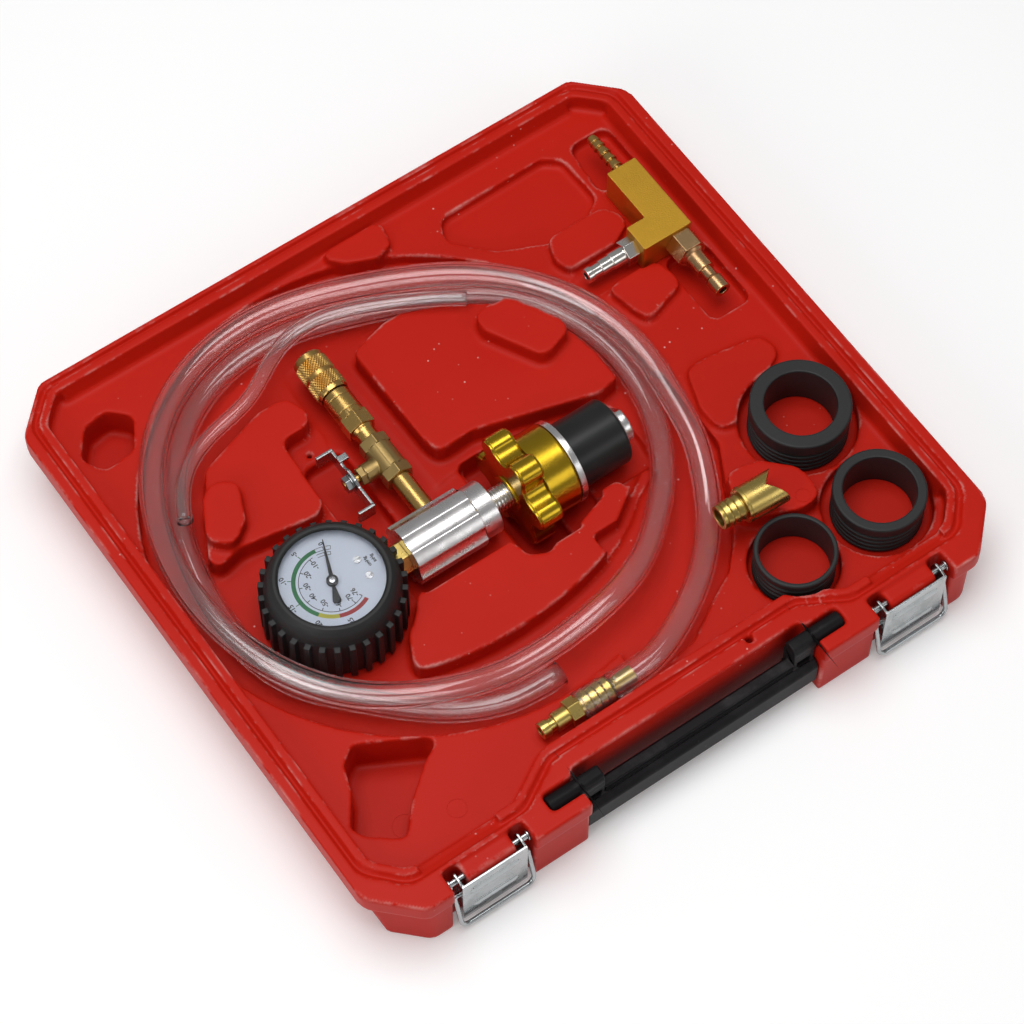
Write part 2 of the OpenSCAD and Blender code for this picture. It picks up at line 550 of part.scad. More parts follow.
module end_nut() color(STEEL) head_at() difference() {
    union() {
        along_x(plug_x1 + 2, plug_x1 + 5.3, 9);
        translate([plug_x1 + 5.3, 0, 0]) rotate([0, 90, 0]) cylinder(h = 0.7, r1 = 9, r2 = 8.2, $fn = 60);
    }
    for (s = [-1, 1]) rotate([40, 0, 0]) translate([54.4, s * 12 - 4.6, -15]) cube([10, 9.2, 30]);
    along_x(50, 60, tube_r + 0.05);
}

// Ball valve branch and quick coupler
module valve_inlet() color(BRASS) valve_at() difference() {
    along_y(-2.5, 22, pipe_r);
    along_y(-4, 30, pipe_bore - 0.2);
}
module valve_body() color(BRASS) difference() {
    valve_at() {
        hex_y(22, 27.2, 13, 30);
        along_y(27, 40, 6.8);
        hex_y(39.8, 45, 13, 30);
        translate([0, ball_y, 0]) along_x(-12, -4, 4.6);
        translate([0, ball_y, 0]) hex_x(-15, -11.8, 8, 30);
    }
    valve_at() {
        along_y(20, 50, pipe_bore);
        along_y(ball_y - 5.6, ball_y + 5.6, 5.4);
        translate([0, ball_y, 0]) along_x(-16, 0, 2.18);
    }
}
module valve_seats() color([0.92, 0.92, 0.90]) valve_at() difference() {
    for (y = [ball_y - 5.5, ball_y + 3.2]) along_y(y, y + 2.3, 5.3);
    along_y(20, 50, pipe_bore);
    translate([0, ball_y, 0]) sphere(r = 5.08, $fn = 60);
}
module valve_ball() color(STEEL) valve_at() difference() {
    translate([0, ball_y, 0]) rotate([90, 0, 0]) rotate_extrude($fn = 72)
        polygon(concat([for (a = [-50 : 5 : 50]) 5 * [cos(a), sin(a)]], [[pipe_bore, 3.83], [pipe_bore, -3.83]]));
    translate([-6, ball_y - 1.6, -1.05]) cube([1.8, 3.2, 2.1]);
}
module valve_stem() color(BRASS) valve_at() translate([0, ball_y, 0]) {
    along_x(-22.6, -5.2, 2.1);
    translate([-5.3, -1.5, -0.95]) cube([1, 3, 1.9]);
}
module valve_lever() color(STEEL) valve_at() translate([0, ball_y, 0]) difference() {
    union() {
        translate([-18.9, 0, 0]) rotate([90, 0, 90]) linear_extrude(1.4)
            polygon(rounded([[-17.5, -4], [-6, -4], [-3, -6], [3, -6], [6, -4], [17.5, -4], [17.5, 4], [6, 4], [3, 6],
                [-3, 6], [-6, 4], [-17.5, 4]], 1.5));
        for (y = [-17.5, 16.1]) translate([-26, y, -4]) cube([8.5, 1.4, 8]);
        translate([-18, 8.6, 3.9]) cube([4, 3.2, 1.4]);
        translate([-18.9, 8.6, 3]) cube([1.4, 3.2, 2.3]);
    }
    along_x(-30, 0, 2.13);
}
module lever_nut() color(STEEL) valve_at() translate([0, ball_y, 0]) difference() {
    union() {
        along_x(-19.7, -18.9, 4.4);
        hex_x(-22.2, -19.7, 7, 10);
    }
    along_x(-30, 0, 2.13);
}
module valve_outlet() color(BRASS) valve_at() difference() {
    union() {
        along_y(45, 52, pipe_r);
        cone_y(50, 52, pipe_r, 6);
    }
    along_y(40, 60, pipe_bore);
}
module coupler_body() color(BRASS) valve_at() difference() {
    union() {
        hex_y(52, 60, 13, 30);
        along_y(59, 73.4, 6.75);
        cone_y(73.4, 74, 6.75, 6.2);
        along_y(72, 96.2, 5.2);
    }
    along_y(50, 70, pipe_bore);
    along_y(67, 100, 3.95);
    for (a = [0 : 90 : 270]) rotate([0, a, 0]) translate([0, 90, 0]) cylinder(h = 8, r = 1.25, $fn = 24);
    for (y = [62.5, 70]) translate([0, y, 0]) rotate([-90, 0, 0])
        rotate_extrude($fn = 48) polygon([[6.35, 0], [7, -0.5], [7, 0.5]]);
}
function knurl(n, r, d) = [for (i = [0 : 2 * n - 1]) (i % 2 == 0 ? r : r - d) * [cos(180 * i / n), sin(180 * i / n)]];
module coupler_sleeve() color(BRASS) valve_at() difference() {
    union() {
        along_y(75, 96, 7.45);
        cone_y(74.2, 75, 7.15, 7.45);
        for (y = [76.4, 85.4]) translate([0, y, 0]) rotate([-90, 0, 0]) linear_extrude(7.6) polygon(knurl(36, 8.05, 0.45));
        cone_y(96, 97, 7.45, 6.6);
    }
    along_y(70, 100, 5.28);
    along_y(73, 86.4, 6.83);
    along_y(95, 98, 5.7);
}
function coil(n, per, r, y0, y1) = [for (i = [0 : n * per])
    [r * cos(360 * i / per), y0 + (y1 - y0) * i / (n * per), r * sin(360 * i / per)]];
function coil_ring(p, i, r, n) =
    let (t = along(p, i), s = unit(cross(t, [0, 1, 0])), u = cross(s, t))
    [for (k = [0 : n - 1]) p[i] + r * (cos(360 * k / n) * s + sin(360 * k / n) * u)];
wire_r = 0.42;
spring_turns = 6;
spring_y0 = 74.5;
spring_y1 = 85.6;
echo(spring_gap = (spring_y1 - spring_y0) / spring_turns - 2 * wire_r);
module coupler_spring() color(STEEL) valve_at() {
    p = coil(spring_turns, 12, 5.85, spring_y0, spring_y1);
    m = len(p);
    n = 5;
    polyhedron([for (i = [0 : m - 1]) each coil_ring(p, i, wire_r, n)],
        concat(skin(0, n, m, false), [[for (k = [0 : n - 1]) n - 1 - k]], [[for (k = [0 : n - 1]) n * (m - 1) + k]]));
}
module coupler_balls() color(STEEL) valve_at() for (a = [0 : 90 : 270])
    rotate([0, a, 0]) translate([0, 90, 4.02]) sphere(r = 1.2, $fn = 32);

// Venturi unit
module venturi_block() color(GOLD) difference() {
    slab([[115.3, 52.5], [141.5, 52.5], [141.5, 96.4], [125.5, 96.4], [125.5, 67], [115.3, 67]], 0.8, 30.8, 48, 3);
    translate([ven_x, 0, ven_z]) {
        along_y(50, 100, 2.5);
        along_y(88, 100, 4.05);
        along_y(50, 59, 4.45);
    }
    translate([0, ven_y, ven_z]) along_x(110, 121, 4.05);
    translate([0, ven_y, ven_z]) along_x(120, 133, 1.9);
}
module venturi_barb() color(BRASS) translate([ven_x, 0, ven_z]) difference() {
    union() {
        along_y(89, 96.4, 4);
        along_y(96.4, 121.6, 2.3);
        along_y(96.4, 98, 3.6);
        for (y = [101, 105.5, 110, 114.5]) cone_y(y, y + 4, 3.2, 2.4);
        cone_y(118, 121.6, 3, 2.3);
    }
    along_y(80, 130, 1.6);
}
module venturi_nozzle() color(BRASS) translate([ven_x, 0, ven_z]) difference() {
    along_y(60, 74, 2.45);
    cone_y(59.9, 70, 2, 0.7);
    along_y(60, 80, 0.7);
}
module venturi_nipple() color(STEEL) translate([0, ven_y, ven_z]) difference() {
    union() {
        along_x(113, 120.5, 4);
        hex_x(109, 115.3, 11, 0);
        along_x(102, 110, 4.2);
        along_x(88.5, 103, 3.2);
        along_x(88.5, 91.5, 3.75);
        along_x(96, 102, 3.75);
    }
    along_x(80, 125, 1.9);
}
module air_plug() color(BRASS) translate([ven_x, 0, ven_z]) difference() {
    union() {
        along_y(51, 58.5, 4.4);
        hex_y(42, 52.5, 14, 0);
        cone_y(40.6, 42, 5.2, 6.6);
        along_y(32, 41, 4.6);
        along_y(26, 33, 3.2);
        along_y(18.8, 26, 4);
        cone_y(25.6, 27.4, 4, 3.2);
    }
    along_y(10, 60, 2);
}

// Radiator neck adaptor rings
module ribbed_ring(at, r, h, d) translate([at[0], at[1], ring_floor_z]) rotate_extrude($fn = 96)
    polygon(concat([[ring_bore, 0.6], [ring_bore + 0.4, 0], [r - d, 0]],
        [for (i = [0 : 3]) each [[r - d, 0.6 + 3.2 * i], [r - 0.2, 1.2 + 3.2 * i], [r - 0.2, 2.6 + 3.2 * i],
            [r - d, 3.2 + 3.2 * i]]],
        [[r - d, 13.9], [r, 14.6], [r, h - 0.6], [r - 0.6, h], [ring_bore + 0.5, h], [ring_bore, h - 0.5]]));
module ring_large() color(BLACK) ribbed_ring(ring_at[0], 23, 22, 1.7);
module ring_medium() color(BLACK) ribbed_ring(ring_at[1], 21, 20, 1.6);
module ring_small() color(BLACK) ribbed_ring(ring_at[2], 18.6, 18, 1.2);

// Hoses and their loose fittings
module fill_hose() color(CLEAR) hose(fill_route, hose_r, hose_bore);
module vent_hose() color(CLEAR) hose(vent_route, vent_r, vent_bore);
module hose_connector() color(BRASS) translate([0, -113.5, connector_z]) difference() {
    union() {
        along_x(-24, -12, 4);
        along_x(-40.5, -24, 5);
        for (x = [-38.5, -34.9, -31.3, -27.7]) translate([x, 0, 0]) rotate([0, 90, 0])
            cylinder(h = 3, r1 = 5.6, r2 = 6.3, $fn = 48);
        hex_x(-46, -40.4, 11, 0);
        along_x(-53, -46, 4.4);
        along_x(-56, -52, 3.1);
        along_x(-60, -56, 3.85);
    }
    along_x(-70, 0, 2);
}
module suction_tip() color(BRASS) translate([58.8, -79.2, plateau_z + 15]) rotate([0, 0, -3]) difference() {
    union() {
        along_x(0, 2, 5.6);
        along_x(1, 14, 5.4);
        for (x = [2, 5, 8]) translate([x, 0, 0]) rotate([0, 90, 0]) cylinder(h = 2.6, r1 = 5.5, r2 = 6.3, $fn = 48);
        along_x(11.5, 13.5, 8.2);
        along_x(13, 32, 8.4);
    }
    along_x(-1, 40, 4);
    along_x(20, 40, 6.6);
    translate([40.5, 0, -20]) rotate([0, 0, 45]) translate([-12, -12, 0]) cube([24, 24, 40]);
}

// Each sub-part is shown alone or with the rest
case_tray();
handle();
latch_pins();
latch_lever_left();
latch_lever_right();
latch_bail_left();
latch_bail_right();
gauge_boot();
gauge_case();
gauge_dial();
dial_screws();
gauge_needle();
gauge_lens();
gauge_socket();
bourdon_tube();
gauge_movement();
sector_gear();
manifold();
centre_tube();
knob();
pressure_washer();
rubber_plug();
end_washer();
end_nut();
valve_inlet();
valve_body();
valve_seats();
valve_ball();
valve_stem();
valve_lever();
lever_nut();
valve_outlet();
coupler_body();
coupler_sleeve();
coupler_spring();
coupler_balls();
venturi_block();
venturi_barb();
venturi_nozzle();
venturi_nipple();
air_plug();
ring_large();
ring_medium();
ring_small();
fill_hose();
hose_connector();
vent_hose();
suction_tip();
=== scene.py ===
"""Looks of a coolant vacuum refill kit: moulded case half, turned fittings, gauge and clear hoses."""

import json
import logging
import math
from dataclasses import dataclass
from enum import Enum
from typing import Callable, Dict, List, Optional, Sequence, Tuple

import bmesh
import bpy
from mathutils import Matrix, Vector


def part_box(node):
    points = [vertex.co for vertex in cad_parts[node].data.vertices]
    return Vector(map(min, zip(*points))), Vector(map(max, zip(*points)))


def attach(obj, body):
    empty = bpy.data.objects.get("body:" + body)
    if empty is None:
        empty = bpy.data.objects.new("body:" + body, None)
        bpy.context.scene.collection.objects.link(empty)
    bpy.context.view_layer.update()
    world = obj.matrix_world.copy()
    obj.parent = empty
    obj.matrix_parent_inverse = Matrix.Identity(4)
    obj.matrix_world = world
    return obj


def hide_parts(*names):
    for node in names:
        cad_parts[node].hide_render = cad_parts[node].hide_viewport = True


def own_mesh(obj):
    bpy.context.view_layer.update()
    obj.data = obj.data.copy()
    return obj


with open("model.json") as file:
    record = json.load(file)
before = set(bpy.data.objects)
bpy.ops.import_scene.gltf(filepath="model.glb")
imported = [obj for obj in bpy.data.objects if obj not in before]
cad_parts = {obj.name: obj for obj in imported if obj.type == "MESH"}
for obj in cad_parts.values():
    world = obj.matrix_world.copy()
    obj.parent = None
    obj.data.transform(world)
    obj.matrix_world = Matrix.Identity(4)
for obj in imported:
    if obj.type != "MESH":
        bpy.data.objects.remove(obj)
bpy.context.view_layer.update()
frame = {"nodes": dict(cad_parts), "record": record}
LOG = logging.getLogger("refill_kit")

MM = 0.001
MERGE_GAP = 0.002 * MM
SPIN_GAP = 0.001 * MM
FLAT_ANGLE = math.radians(0.5)
SHARP_ANGLE = math.radians(28)
CORNER_ANGLE = math.radians(32)
CUT_EDGE = math.radians(40)
MOULDED_EDGE = math.radians(30)
WHITE = (1.0, 1.0, 1.0, 1.0)
Color = Tuple[float, float, float]
Point = Tuple[float, float, float]


class Axis(Enum):
    """A world axis that a turned piece was machined about."""

    X = 0
    Y = 1
    Z = 2


class Effect(Enum):
    """Names of the shader node groups that several finishes share."""

    GRAIN = "moulded_grain"
    TURNING = "turned_lines"
    SMUDGE = "handling_smudges"
    # Scuffs and specks of wear, and along edges also a painted highlight.
    SCUFF_AND_HIGHLIGHT = "edge_scuffs_and_highlights"


class NodeWriter:
    """A thin writer for one shader node tree."""

    def __init__(self, tree: bpy.types.NodeTree) -> None:
        """Keeps the tree that nodes are added to.

        Args:
            tree: The node tree of a material or group.
        """
        self.tree = tree

    def feed(self, target: bpy.types.NodeSocket, value: object) -> None:
        """Links a socket to another one, or gives it a plain value."""
        if isinstance(value, bpy.types.NodeSocket):
            self.tree.links.new(value, target)
        else:
            target.default_value = value

    def node(self, kind: str, **values: object) -> bpy.types.Node:
        """Adds one node.

        Args:
            kind: The node's type name.
            values: Attributes of the node, or values and links of its named inputs.

        Returns:
            The new node.
        """
        made = self.tree.nodes.new(kind)
        for name, value in values.items():
            socket = name.replace("_", " ").title()
            if socket in made.inputs:
                self.feed(made.inputs[socket], value)
            else:
                setattr(made, name, value)
        return made

    def noise(self, **values: object) -> bpy.types.NodeSocket:
        """Adds a noise texture, and gives its value."""
        return self.node("ShaderNodeTexNoise", **values).outputs["Fac"]

    def place(self) -> bpy.types.NodeSocket:
        """Object coordinates, in metres."""
        return self.node("ShaderNodeTexCoord").outputs["Object"]

    def math(self, operation: str, a: object, b: object) -> bpy.types.NodeSocket:
        """Adds a math node.

        Args:
            operation: The operation's name.
            a: A socket or a number.
            b: A socket or a number.

        Returns:
            The node's result.
        """
        made = self.node("ShaderNodeMath", operation=operation)
        for slot, value in zip(made.inputs, (a, b)):
            self.feed(slot, value)
        return made.outputs[0]

    def ramp(self, value: bpy.types.NodeSocket, low: float, high: float) -> bpy.types.NodeSocket:
        """Stretches a value so that low becomes 0 and high becomes 1, and clamps it.

        Args:
            value: The value to stretch.
            low: What becomes 0.
            high: What becomes 1.

        Returns:
            The stretched value.
        """
        return self.node("ShaderNodeMapRange", value=value, from_min=low, from_max=high).outputs["Result"]

    def mix(self, share: bpy.types.NodeSocket, a: object, b: Color) -> bpy.types.NodeSocket:
        """Mixes two colours.

        Args:
            share: How much of the second colour shows.
            a: The first colour, or a socket that gives it.
            b: The second colour.

        Returns:
            The mixed colour.
        """
        made = self.node("ShaderNodeMix", data_type="RGBA", factor=share)
        self.feed(made.inputs[6], (*a, 1.0) if isinstance(a, tuple) else a)
        self.feed(made.inputs[7], (*b, 1.0))
        return made.outputs[2]


class EffectShop:
    """Builds the shared node groups, each of them once."""

    def __init__(self) -> None:
        """Starts with no groups built."""
        self.made: Dict[Effect, bpy.types.NodeTree] = {}

    def group(self, effect: Effect) -> bpy.types.NodeTree:
        """Gives a group, building it at its first use.

        Args:
            effect: Which group.

        Returns:
            The node group.
        """
        if effect not in self.made:
            builders: Dict[Effect, Callable[[], bpy.types.NodeTree]] = {
                Effect.GRAIN: self.grain,
                Effect.TURNING: self.turning,
                Effect.SMUDGE: self.smudge,
                Effect.SCUFF_AND_HIGHLIGHT: self.scuff_and_highlight,
            }
            self.made[effect] = builders[effect]()
        return self.made[effect]

    @staticmethod
    def blank(effect: Effect, inputs: Dict[str, float], outputs: Sequence[str]) -> Tuple:
        """Makes an empty group with named float sockets.

        Args:
            effect: The group's name.
            inputs: Input names with their default values.
            outputs: Output names.

        Returns:
            The writer, the input node's sockets and the output node's sockets.
        """
        tree = bpy.data.node_groups.new(effect.value, "ShaderNodeTree")
        for name, value in inputs.items():
            socket = tree.interface.new_socket(name, in_out="INPUT", socket_type="NodeSocketFloat")
            socket.default_value = value
        for name in outputs:
            tree.interface.new_socket(name, in_out="OUTPUT", socket_type="NodeSocketFloat")
        write = NodeWriter(tree)
        return write, write.node("NodeGroupInput").outputs, write.node("NodeGroupOutput").inputs

    def grain(self) -> bpy.types.NodeTree:
        """Fine moulded grain with slow mottling, from Object coordinates."""
        write, inside, outside = self.blank(
            Effect.GRAIN, {"Scale": 900.0, "Mottle Scale": 14.0}, ("Height", "Mottle"))
        place = write.place()
        for name, source, detail in (("Height", "Scale", 3.0), ("Mottle", "Mottle Scale", 4.0)):
            write.feed(outside[name], write.noise(vector=place, scale=inside[source], detail=detail))
        return write.tree

    def turning(self) -> bpy.types.NodeTree:
        """Fine rings that a cutting tool leaves along a turned piece."""
        write, inside, outside = self.blank(Effect.TURNING, {"Along": 0.0, "Lines": 4000.0}, ("Height",))
        step = write.math("MULTIPLY", inside["Along"], inside["Lines"])
        write.feed(outside["Height"], write.noise(noise_dimensions="1D", detail=2.0, w=step))
        return write.tree

    def smudge(self) -> bpy.types.NodeTree:
        """Soft patches left by hands, as a mask."""
        write, inside, outside = self.blank(Effect.SMUDGE, {"Scale": 60.0}, ("Mask",))
        noise = write.noise(vector=write.place(), scale=inside["Scale"], detail=5.0, roughness=0.6)
        write.feed(outside["Mask"], write.ramp(noise, 0.42, 0.68))
        return write.tree

    def scuff_and_highlight(self) -> bpy.types.NodeTree:
        """Pale marks on edges, part scuff and part painted highlight, and scattered scuff specks on faces, as
        a mask.
        """
        write, inside, outside = self.blank(
            Effect.SCUFF_AND_HIGHLIGHT, {"Edge": 0.0, "Amount": 1.0, "Speck Scale": 160.0}, ("Mask",))
        place = write.place()
        patch = write.noise(vector=place, scale=38.0, detail=6.0, roughness=0.7)
        # Pale along convex edges: partly rubbed wear, partly a painted highlight where edges catch the light.
        rubbed_and_lit_edges = write.math("MULTIPLY", write.ramp(inside["Edge"], 0.2, 0.9), write.ramp(patch, 0.5, 0.75))
        dots = write.node("ShaderNodeTexVoronoi", vector=place, scale=inside["Speck Scale"])
        near = write.ramp(dots.outputs["Distance"], 0.09, 0.04)
        few = write.noise(vector=place, scale=22.0, detail=2.0)
        specks = write.math("MULTIPLY", near, write.ramp(few, 0.56, 0.66))
        both = write.math("MAXIMUM", rubbed_and_lit_edges, specks)
        write.feed(outside["Mask"], write.math("MULTIPLY", both, inside["Amount"]))
        return write.tree


EFFECTS = EffectShop()
EDGE_ATTRIBUTE = "edge"


class Surface(NodeWriter):
    """The nodes of one material, with its own shader."""

    def __init__(self, material: bpy.types.Material) -> None:
        """Takes the material's tree and shader.

        Args:
            material: The material.
        """
        super().__init__(material.node_tree)
        self.shader = material.node_tree.nodes["Principled BSDF"]

    def set(self, name: str, value: object) -> None:
        """Gives one of the shader's sockets a value or a link."""
        self.feed(self.shader.inputs[name], value)

    def effect(self, effect: Effect, **values: object) -> bpy.types.Node:
        """Places a shared group.

        Args:
            effect: Which group.
            values: Values and links of its inputs, by name.

        Returns:
            The group node.
        """
        return self.node("ShaderNodeGroup", node_tree=EFFECTS.group(effect), **values)

    def edge(self) -> bpy.types.NodeSocket:
        """How convex the surface is, as its mesh stores it."""
        return self.node("ShaderNodeAttribute", attribute_name=EDGE_ATTRIBUTE).outputs["Fac"]

    def bump(self, height: bpy.types.NodeSocket, strength: float, depth: float) -> None:
        """Feeds a height to the shader's normal.

        Args:
            height: The height to feed.
            strength: How strongly it shows.
            depth: Height of the relief in metres.
        """
        made = self.node("ShaderNodeBump", strength=strength, distance=depth, height=height)
        self.set("Normal", made.outputs["Normal"])

    def rough(self, mask: bpy.types.NodeSocket, low: float, high: float) -> None:
        """Varies the roughness with a mask.

        Args:
            mask: A value from 0 to 1.
            low: The roughness at 0.
            high: The roughness at 1.
        """
        made = self.node("ShaderNodeMapRange", value=mask, to_min=low, to_max=high)
        self.set("Roughness", made.outputs["Result"])


@dataclass(frozen=True)
class Finish:
    """A surface finish and the record's slot that it belongs to.

    No finish is named like a slot, because the frame holds plain materials under those names.
    """

    name: str
    slot: str
    color: Color
    roughness: float

    def build(self) -> bpy.types.Material:
        """Gives the material, building it at its first use."""
        found = bpy.data.materials.get(self.name)
        if found is not None:
            return found
        material = bpy.data.materials.new(self.name)
        material.use_nodes = True
        self.paint(Surface(material))
        return material

    def paint(self, on: Surface) -> None:
        """Sets the plain values of the shader.

        Args:
            on: The material's nodes.
        """
        on.set("Base Color", (*self.color, 1.0))
        on.set("Roughness", self.roughness)


@dataclass(frozen=True)
class Moulded(Finish):
    """Moulded plastic or rubber with grain, mottling, scuffs and a painted highlight along its edges."""

    shade: Color = (0.0, 0.0, 0.0)
    # The scuff colour marks worn specks and edges, and along edges also stands for a painted highlight.
    scuff_and_highlight: Color = (0.8, 0.8, 0.8)
    scuff_and_highlight_amount: float = 0.4
    grain: float = 900.0
    grain_depth: float = 0.00004
    specular: float = 0.5
    spread: float = 0.08

    def paint(self, on: Surface) -> None:
        """Mixes base, shade and scuff colours, the scuff colour also painting a highlight along edges, and
        adds the grain.

        Args:
            on: The material's nodes.
        """
        on.set("Specular IOR Level", self.specular)
        grain = on.effect(Effect.GRAIN, scale=self.grain).outputs
        scuff_and_highlight = on.effect(Effect.SCUFF_AND_HIGHLIGHT, amount=self.scuff_and_highlight_amount, edge=on.edge())
        mottled = on.mix(on.ramp(grain["Mottle"], 0.3, 0.7), self.color, self.shade)
        # Edges get the scuff colour as wear and as a painted highlight.
        on.set("Base Color", on.mix(scuff_and_highlight.outputs["Mask"], mottled, self.scuff_and_highlight))
        on.rough(grain["Mottle"], self.roughness - self.spread, self.roughness + self.spread)
        on.bump(grain["Height"], strength=0.5, depth=self.grain_depth)


@dataclass(frozen=True)
class Metal(Finish):
    """Bare, plated or anodised metal with tool lines and smudges."""

    tint: Color = (0.5, 0.5, 0.5)
    axis: Optional[Axis] = None
    lines: float = 5000.0
    line_depth: float = 0.00002
    grain: float = 0.0
    grain_depth: float = 0.00003
    spread: float = 0.1

    def paint(self, on: Surface) -> None:
        """Mixes the colour with a handled tint, and adds lines or blasted grain.

        Args:
            on: The material's nodes.
        """
        on.set("Metallic", 1.0)
        smudge = on.effect(Effect.SMUDGE, scale=90.0).outputs["Mask"]
        aged = on.mix(smudge, self.color, self.tint)
        bright = tuple(min(1.0, 1.15 * c + 0.03) for c in self.color)
        on.set("Base Color", on.mix(on.math("MULTIPLY", on.edge(), 0.5), aged, bright))
        on.rough(smudge, self.roughness, self.roughness + self.spread)
        if self.axis is not None:
            parts = on.node("ShaderNodeSeparateXYZ", vector=on.place())
            turned = on.effect(Effect.TURNING, lines=self.lines, along=parts.outputs[self.axis.value])
            on.bump(turned.outputs["Height"], strength=0.4, depth=self.line_depth)
        elif self.grain > 0:
            grain = on.effect(Effect.GRAIN, scale=self.grain)
            on.bump(grain.outputs["Height"], strength=0.6, depth=self.grain_depth)


@dataclass(frozen=True)
class Clear(Finish):
    """Clear glass or flexible tube."""

    ior: float = 1.45
    haze: float = 0.0
    gloss: float = 0.0
    through: float = 1.0

    def paint(self, on: Surface) -> None:
        """Lets light through, with a slight haze.

        Args:
            on: The material's nodes.
        """
        super().paint(on)
        on.set("IOR", self.ior)
        on.set("Transmission Weight", self.through)
        on.set("Coat Weight", self.gloss)
        on.set("Coat Roughness", 0.04)
        smudge = on.effect(Effect.SMUDGE, scale=40.0)
        on.rough(smudge.outputs["Mask"], self.roughness, self.roughness + self.haze)


@dataclass(frozen=True)
class PaleFloor(Finish):
    """A floor that looks pale and still takes the shadow."""

    lift: float = 0.15

    def paint(self, on: Surface) -> None:
        """Adds a little white where the floor is seen, in mirrors and through glass too.

        Args:
            on: The material's nodes.
        """
        super().paint(on)
        path = on.node("ShaderNodeLightPath").outputs
        seen = on.math("MAXIMUM", path["Is Camera Ray"], path["Is Glossy Ray"])
        seen = on.math("MAXIMUM", seen, path["Is Transmission Ray"])
        on.set("Emission Color", WHITE)
        on.set("Emission Strength", on.math("MULTIPLY", seen, self.lift))


def ink(name: str, color: Color, shade: Color, roughness: float = 0.45) -> Moulded:
    """A finish of the dial, free of scuffs and of the painted edge highlight."""
    return Moulded(name, "dial_card", color, roughness, shade, scuff_and_highlight_amount=0.0)


RED = Moulded("moulded_red", "red_moulding", (0.53, 0.014, 0.0055), 0.42, (0.495, 0.011, 0.004),
              (0.78, 0.46, 0.42), 0.75, 700.0, 0.00003, 0.11)
BLACK_PLASTIC = Moulded("handle_black", "black_plastic", (0.009, 0.008, 0.009), 0.42, (0.013, 0.012, 0.013),
                        (0.16, 0.15, 0.15), 0.30, 1100.0, 0.00005, 0.08)
PLUG_RUBBER = Moulded("plug_rubber", "black_rubber", (0.014, 0.014, 0.014), 0.30, (0.018, 0.018, 0.018),
                      (0.10, 0.10, 0.10), 0.25, 1500.0, 0.00001, 0.28)
RUBBER = Moulded("ring_rubber", "black_rubber", (0.012, 0.012, 0.012), 0.50, (0.020, 0.020, 0.021),
                 (0.10, 0.10, 0.10), 0.25, 1300.0, 0.00003, 0.35)
GAUGE_BLACK = Moulded("gauge_paint", "gauge_black", (0.010, 0.010, 0.010), 0.36, (0.014, 0.014, 0.014),
                      (0.10, 0.10, 0.10), 0.10)
GAUGE_WALL = Moulded("gauge_wall", "gauge_black", (0.55, 0.57, 0.60), 0.40, (0.50, 0.52, 0.55),
                     (0.7, 0.7, 0.7), 0.10)
DIAL = ink("dial_white", (0.80, 0.85, 0.95), (0.77, 0.82, 0.93), 0.35)
PRINT_GREY = ink("print_grey", (0.010, 0.011, 0.016), (0.015, 0.016, 0.022), 0.5)
PRINT_GREEN = ink("print_green", (0.020, 0.20, 0.065), (0.03, 0.22, 0.07))
PRINT_YELLOW = ink("print_yellow", (0.62, 0.58, 0.05), (0.6, 0.55, 0.06))
PRINT_RED = ink("print_red", (0.46, 0.035, 0.035), (0.44, 0.04, 0.04))
SEAL_WHITE = Moulded("seal_white", "ptfe", (0.80, 0.80, 0.78), 0.45, (0.76, 0.76, 0.74), (0.7, 0.7, 0.7), 0.1)
ZINC = Metal("zinc_plate", "zinc_steel", (0.42, 0.44, 0.45), 0.20, (0.34, 0.36, 0.36), grain=400.0,
             grain_depth=0.00001, spread=0.14)
BRASS_X = Metal("brass_x", "brass", (0.60, 0.44, 0.13), 0.25, (0.50, 0.36, 0.10), Axis.X)
BRASS_Y = Metal("brass_y", "brass", (0.60, 0.38, 0.12), 0.25, (0.52, 0.31, 0.09), Axis.Y)
BRASS_CAST = Metal("brass_cast", "brass", (0.42, 0.29, 0.11), 0.42, (0.34, 0.23, 0.09), grain=1500.0,
                   grain_depth=0.00006)
BRASS_ROSE = Metal("brass_rose", "brass", (0.60, 0.38, 0.18), 0.22, (0.50, 0.28, 0.14), Axis.Y)
ALUMINIUM = Metal("turned_aluminium", "aluminium", (0.78, 0.76, 0.76), 0.26, (0.71, 0.68, 0.68), Axis.X,
                  6000.0, 0.00001)
GOLD = Metal("gold_bright", "gold_anodised", (0.53, 0.34, 0.020), 0.22, (0.48, 0.30, 0.018), Axis.X,
             5000.0, 0.00001, spread=0.06)
GOLD_BLASTED = Metal("gold_blasted", "gold_anodised", (0.585, 0.325, 0.031), 0.42, (0.53, 0.293, 0.027),
                     grain=1500.0, grain_depth=0.00016)
STEEL_X = Metal("bright_steel_x", "bright_steel", (0.76, 0.75, 0.75), 0.22, (0.66, 0.65, 0.65), Axis.X)
STEEL = Metal("steel_plain", "bright_steel", (0.74, 0.74, 0.74), 0.25, (0.64, 0.64, 0.64), grain=600.0,
              grain_depth=0.00001)
NICKEL = Metal("nickel_plate", "nickel", (0.74, 0.71, 0.67), 0.16, (0.66, 0.62, 0.57), Axis.X,
               5000.0, 0.000006)
LENS = Clear("gauge_window", "clear_lens", (0.97, 0.98, 1.0), 0.02, 1.45, 0.02)
HOSE = Clear("clear_tube", "clear_hose", (1.0, 0.96, 0.96), 0.04, 1.12, 0.05, 1.0, 0.985)


def place_new(name: str, data: bpy.types.ID) -> bpy.types.Object:
    """Makes an object of a mesh, curve, lamp or camera, and links it to the scene."""
    made = bpy.data.objects.new(name, data)
    bpy.context.scene.collection.objects.link(made)
    return made


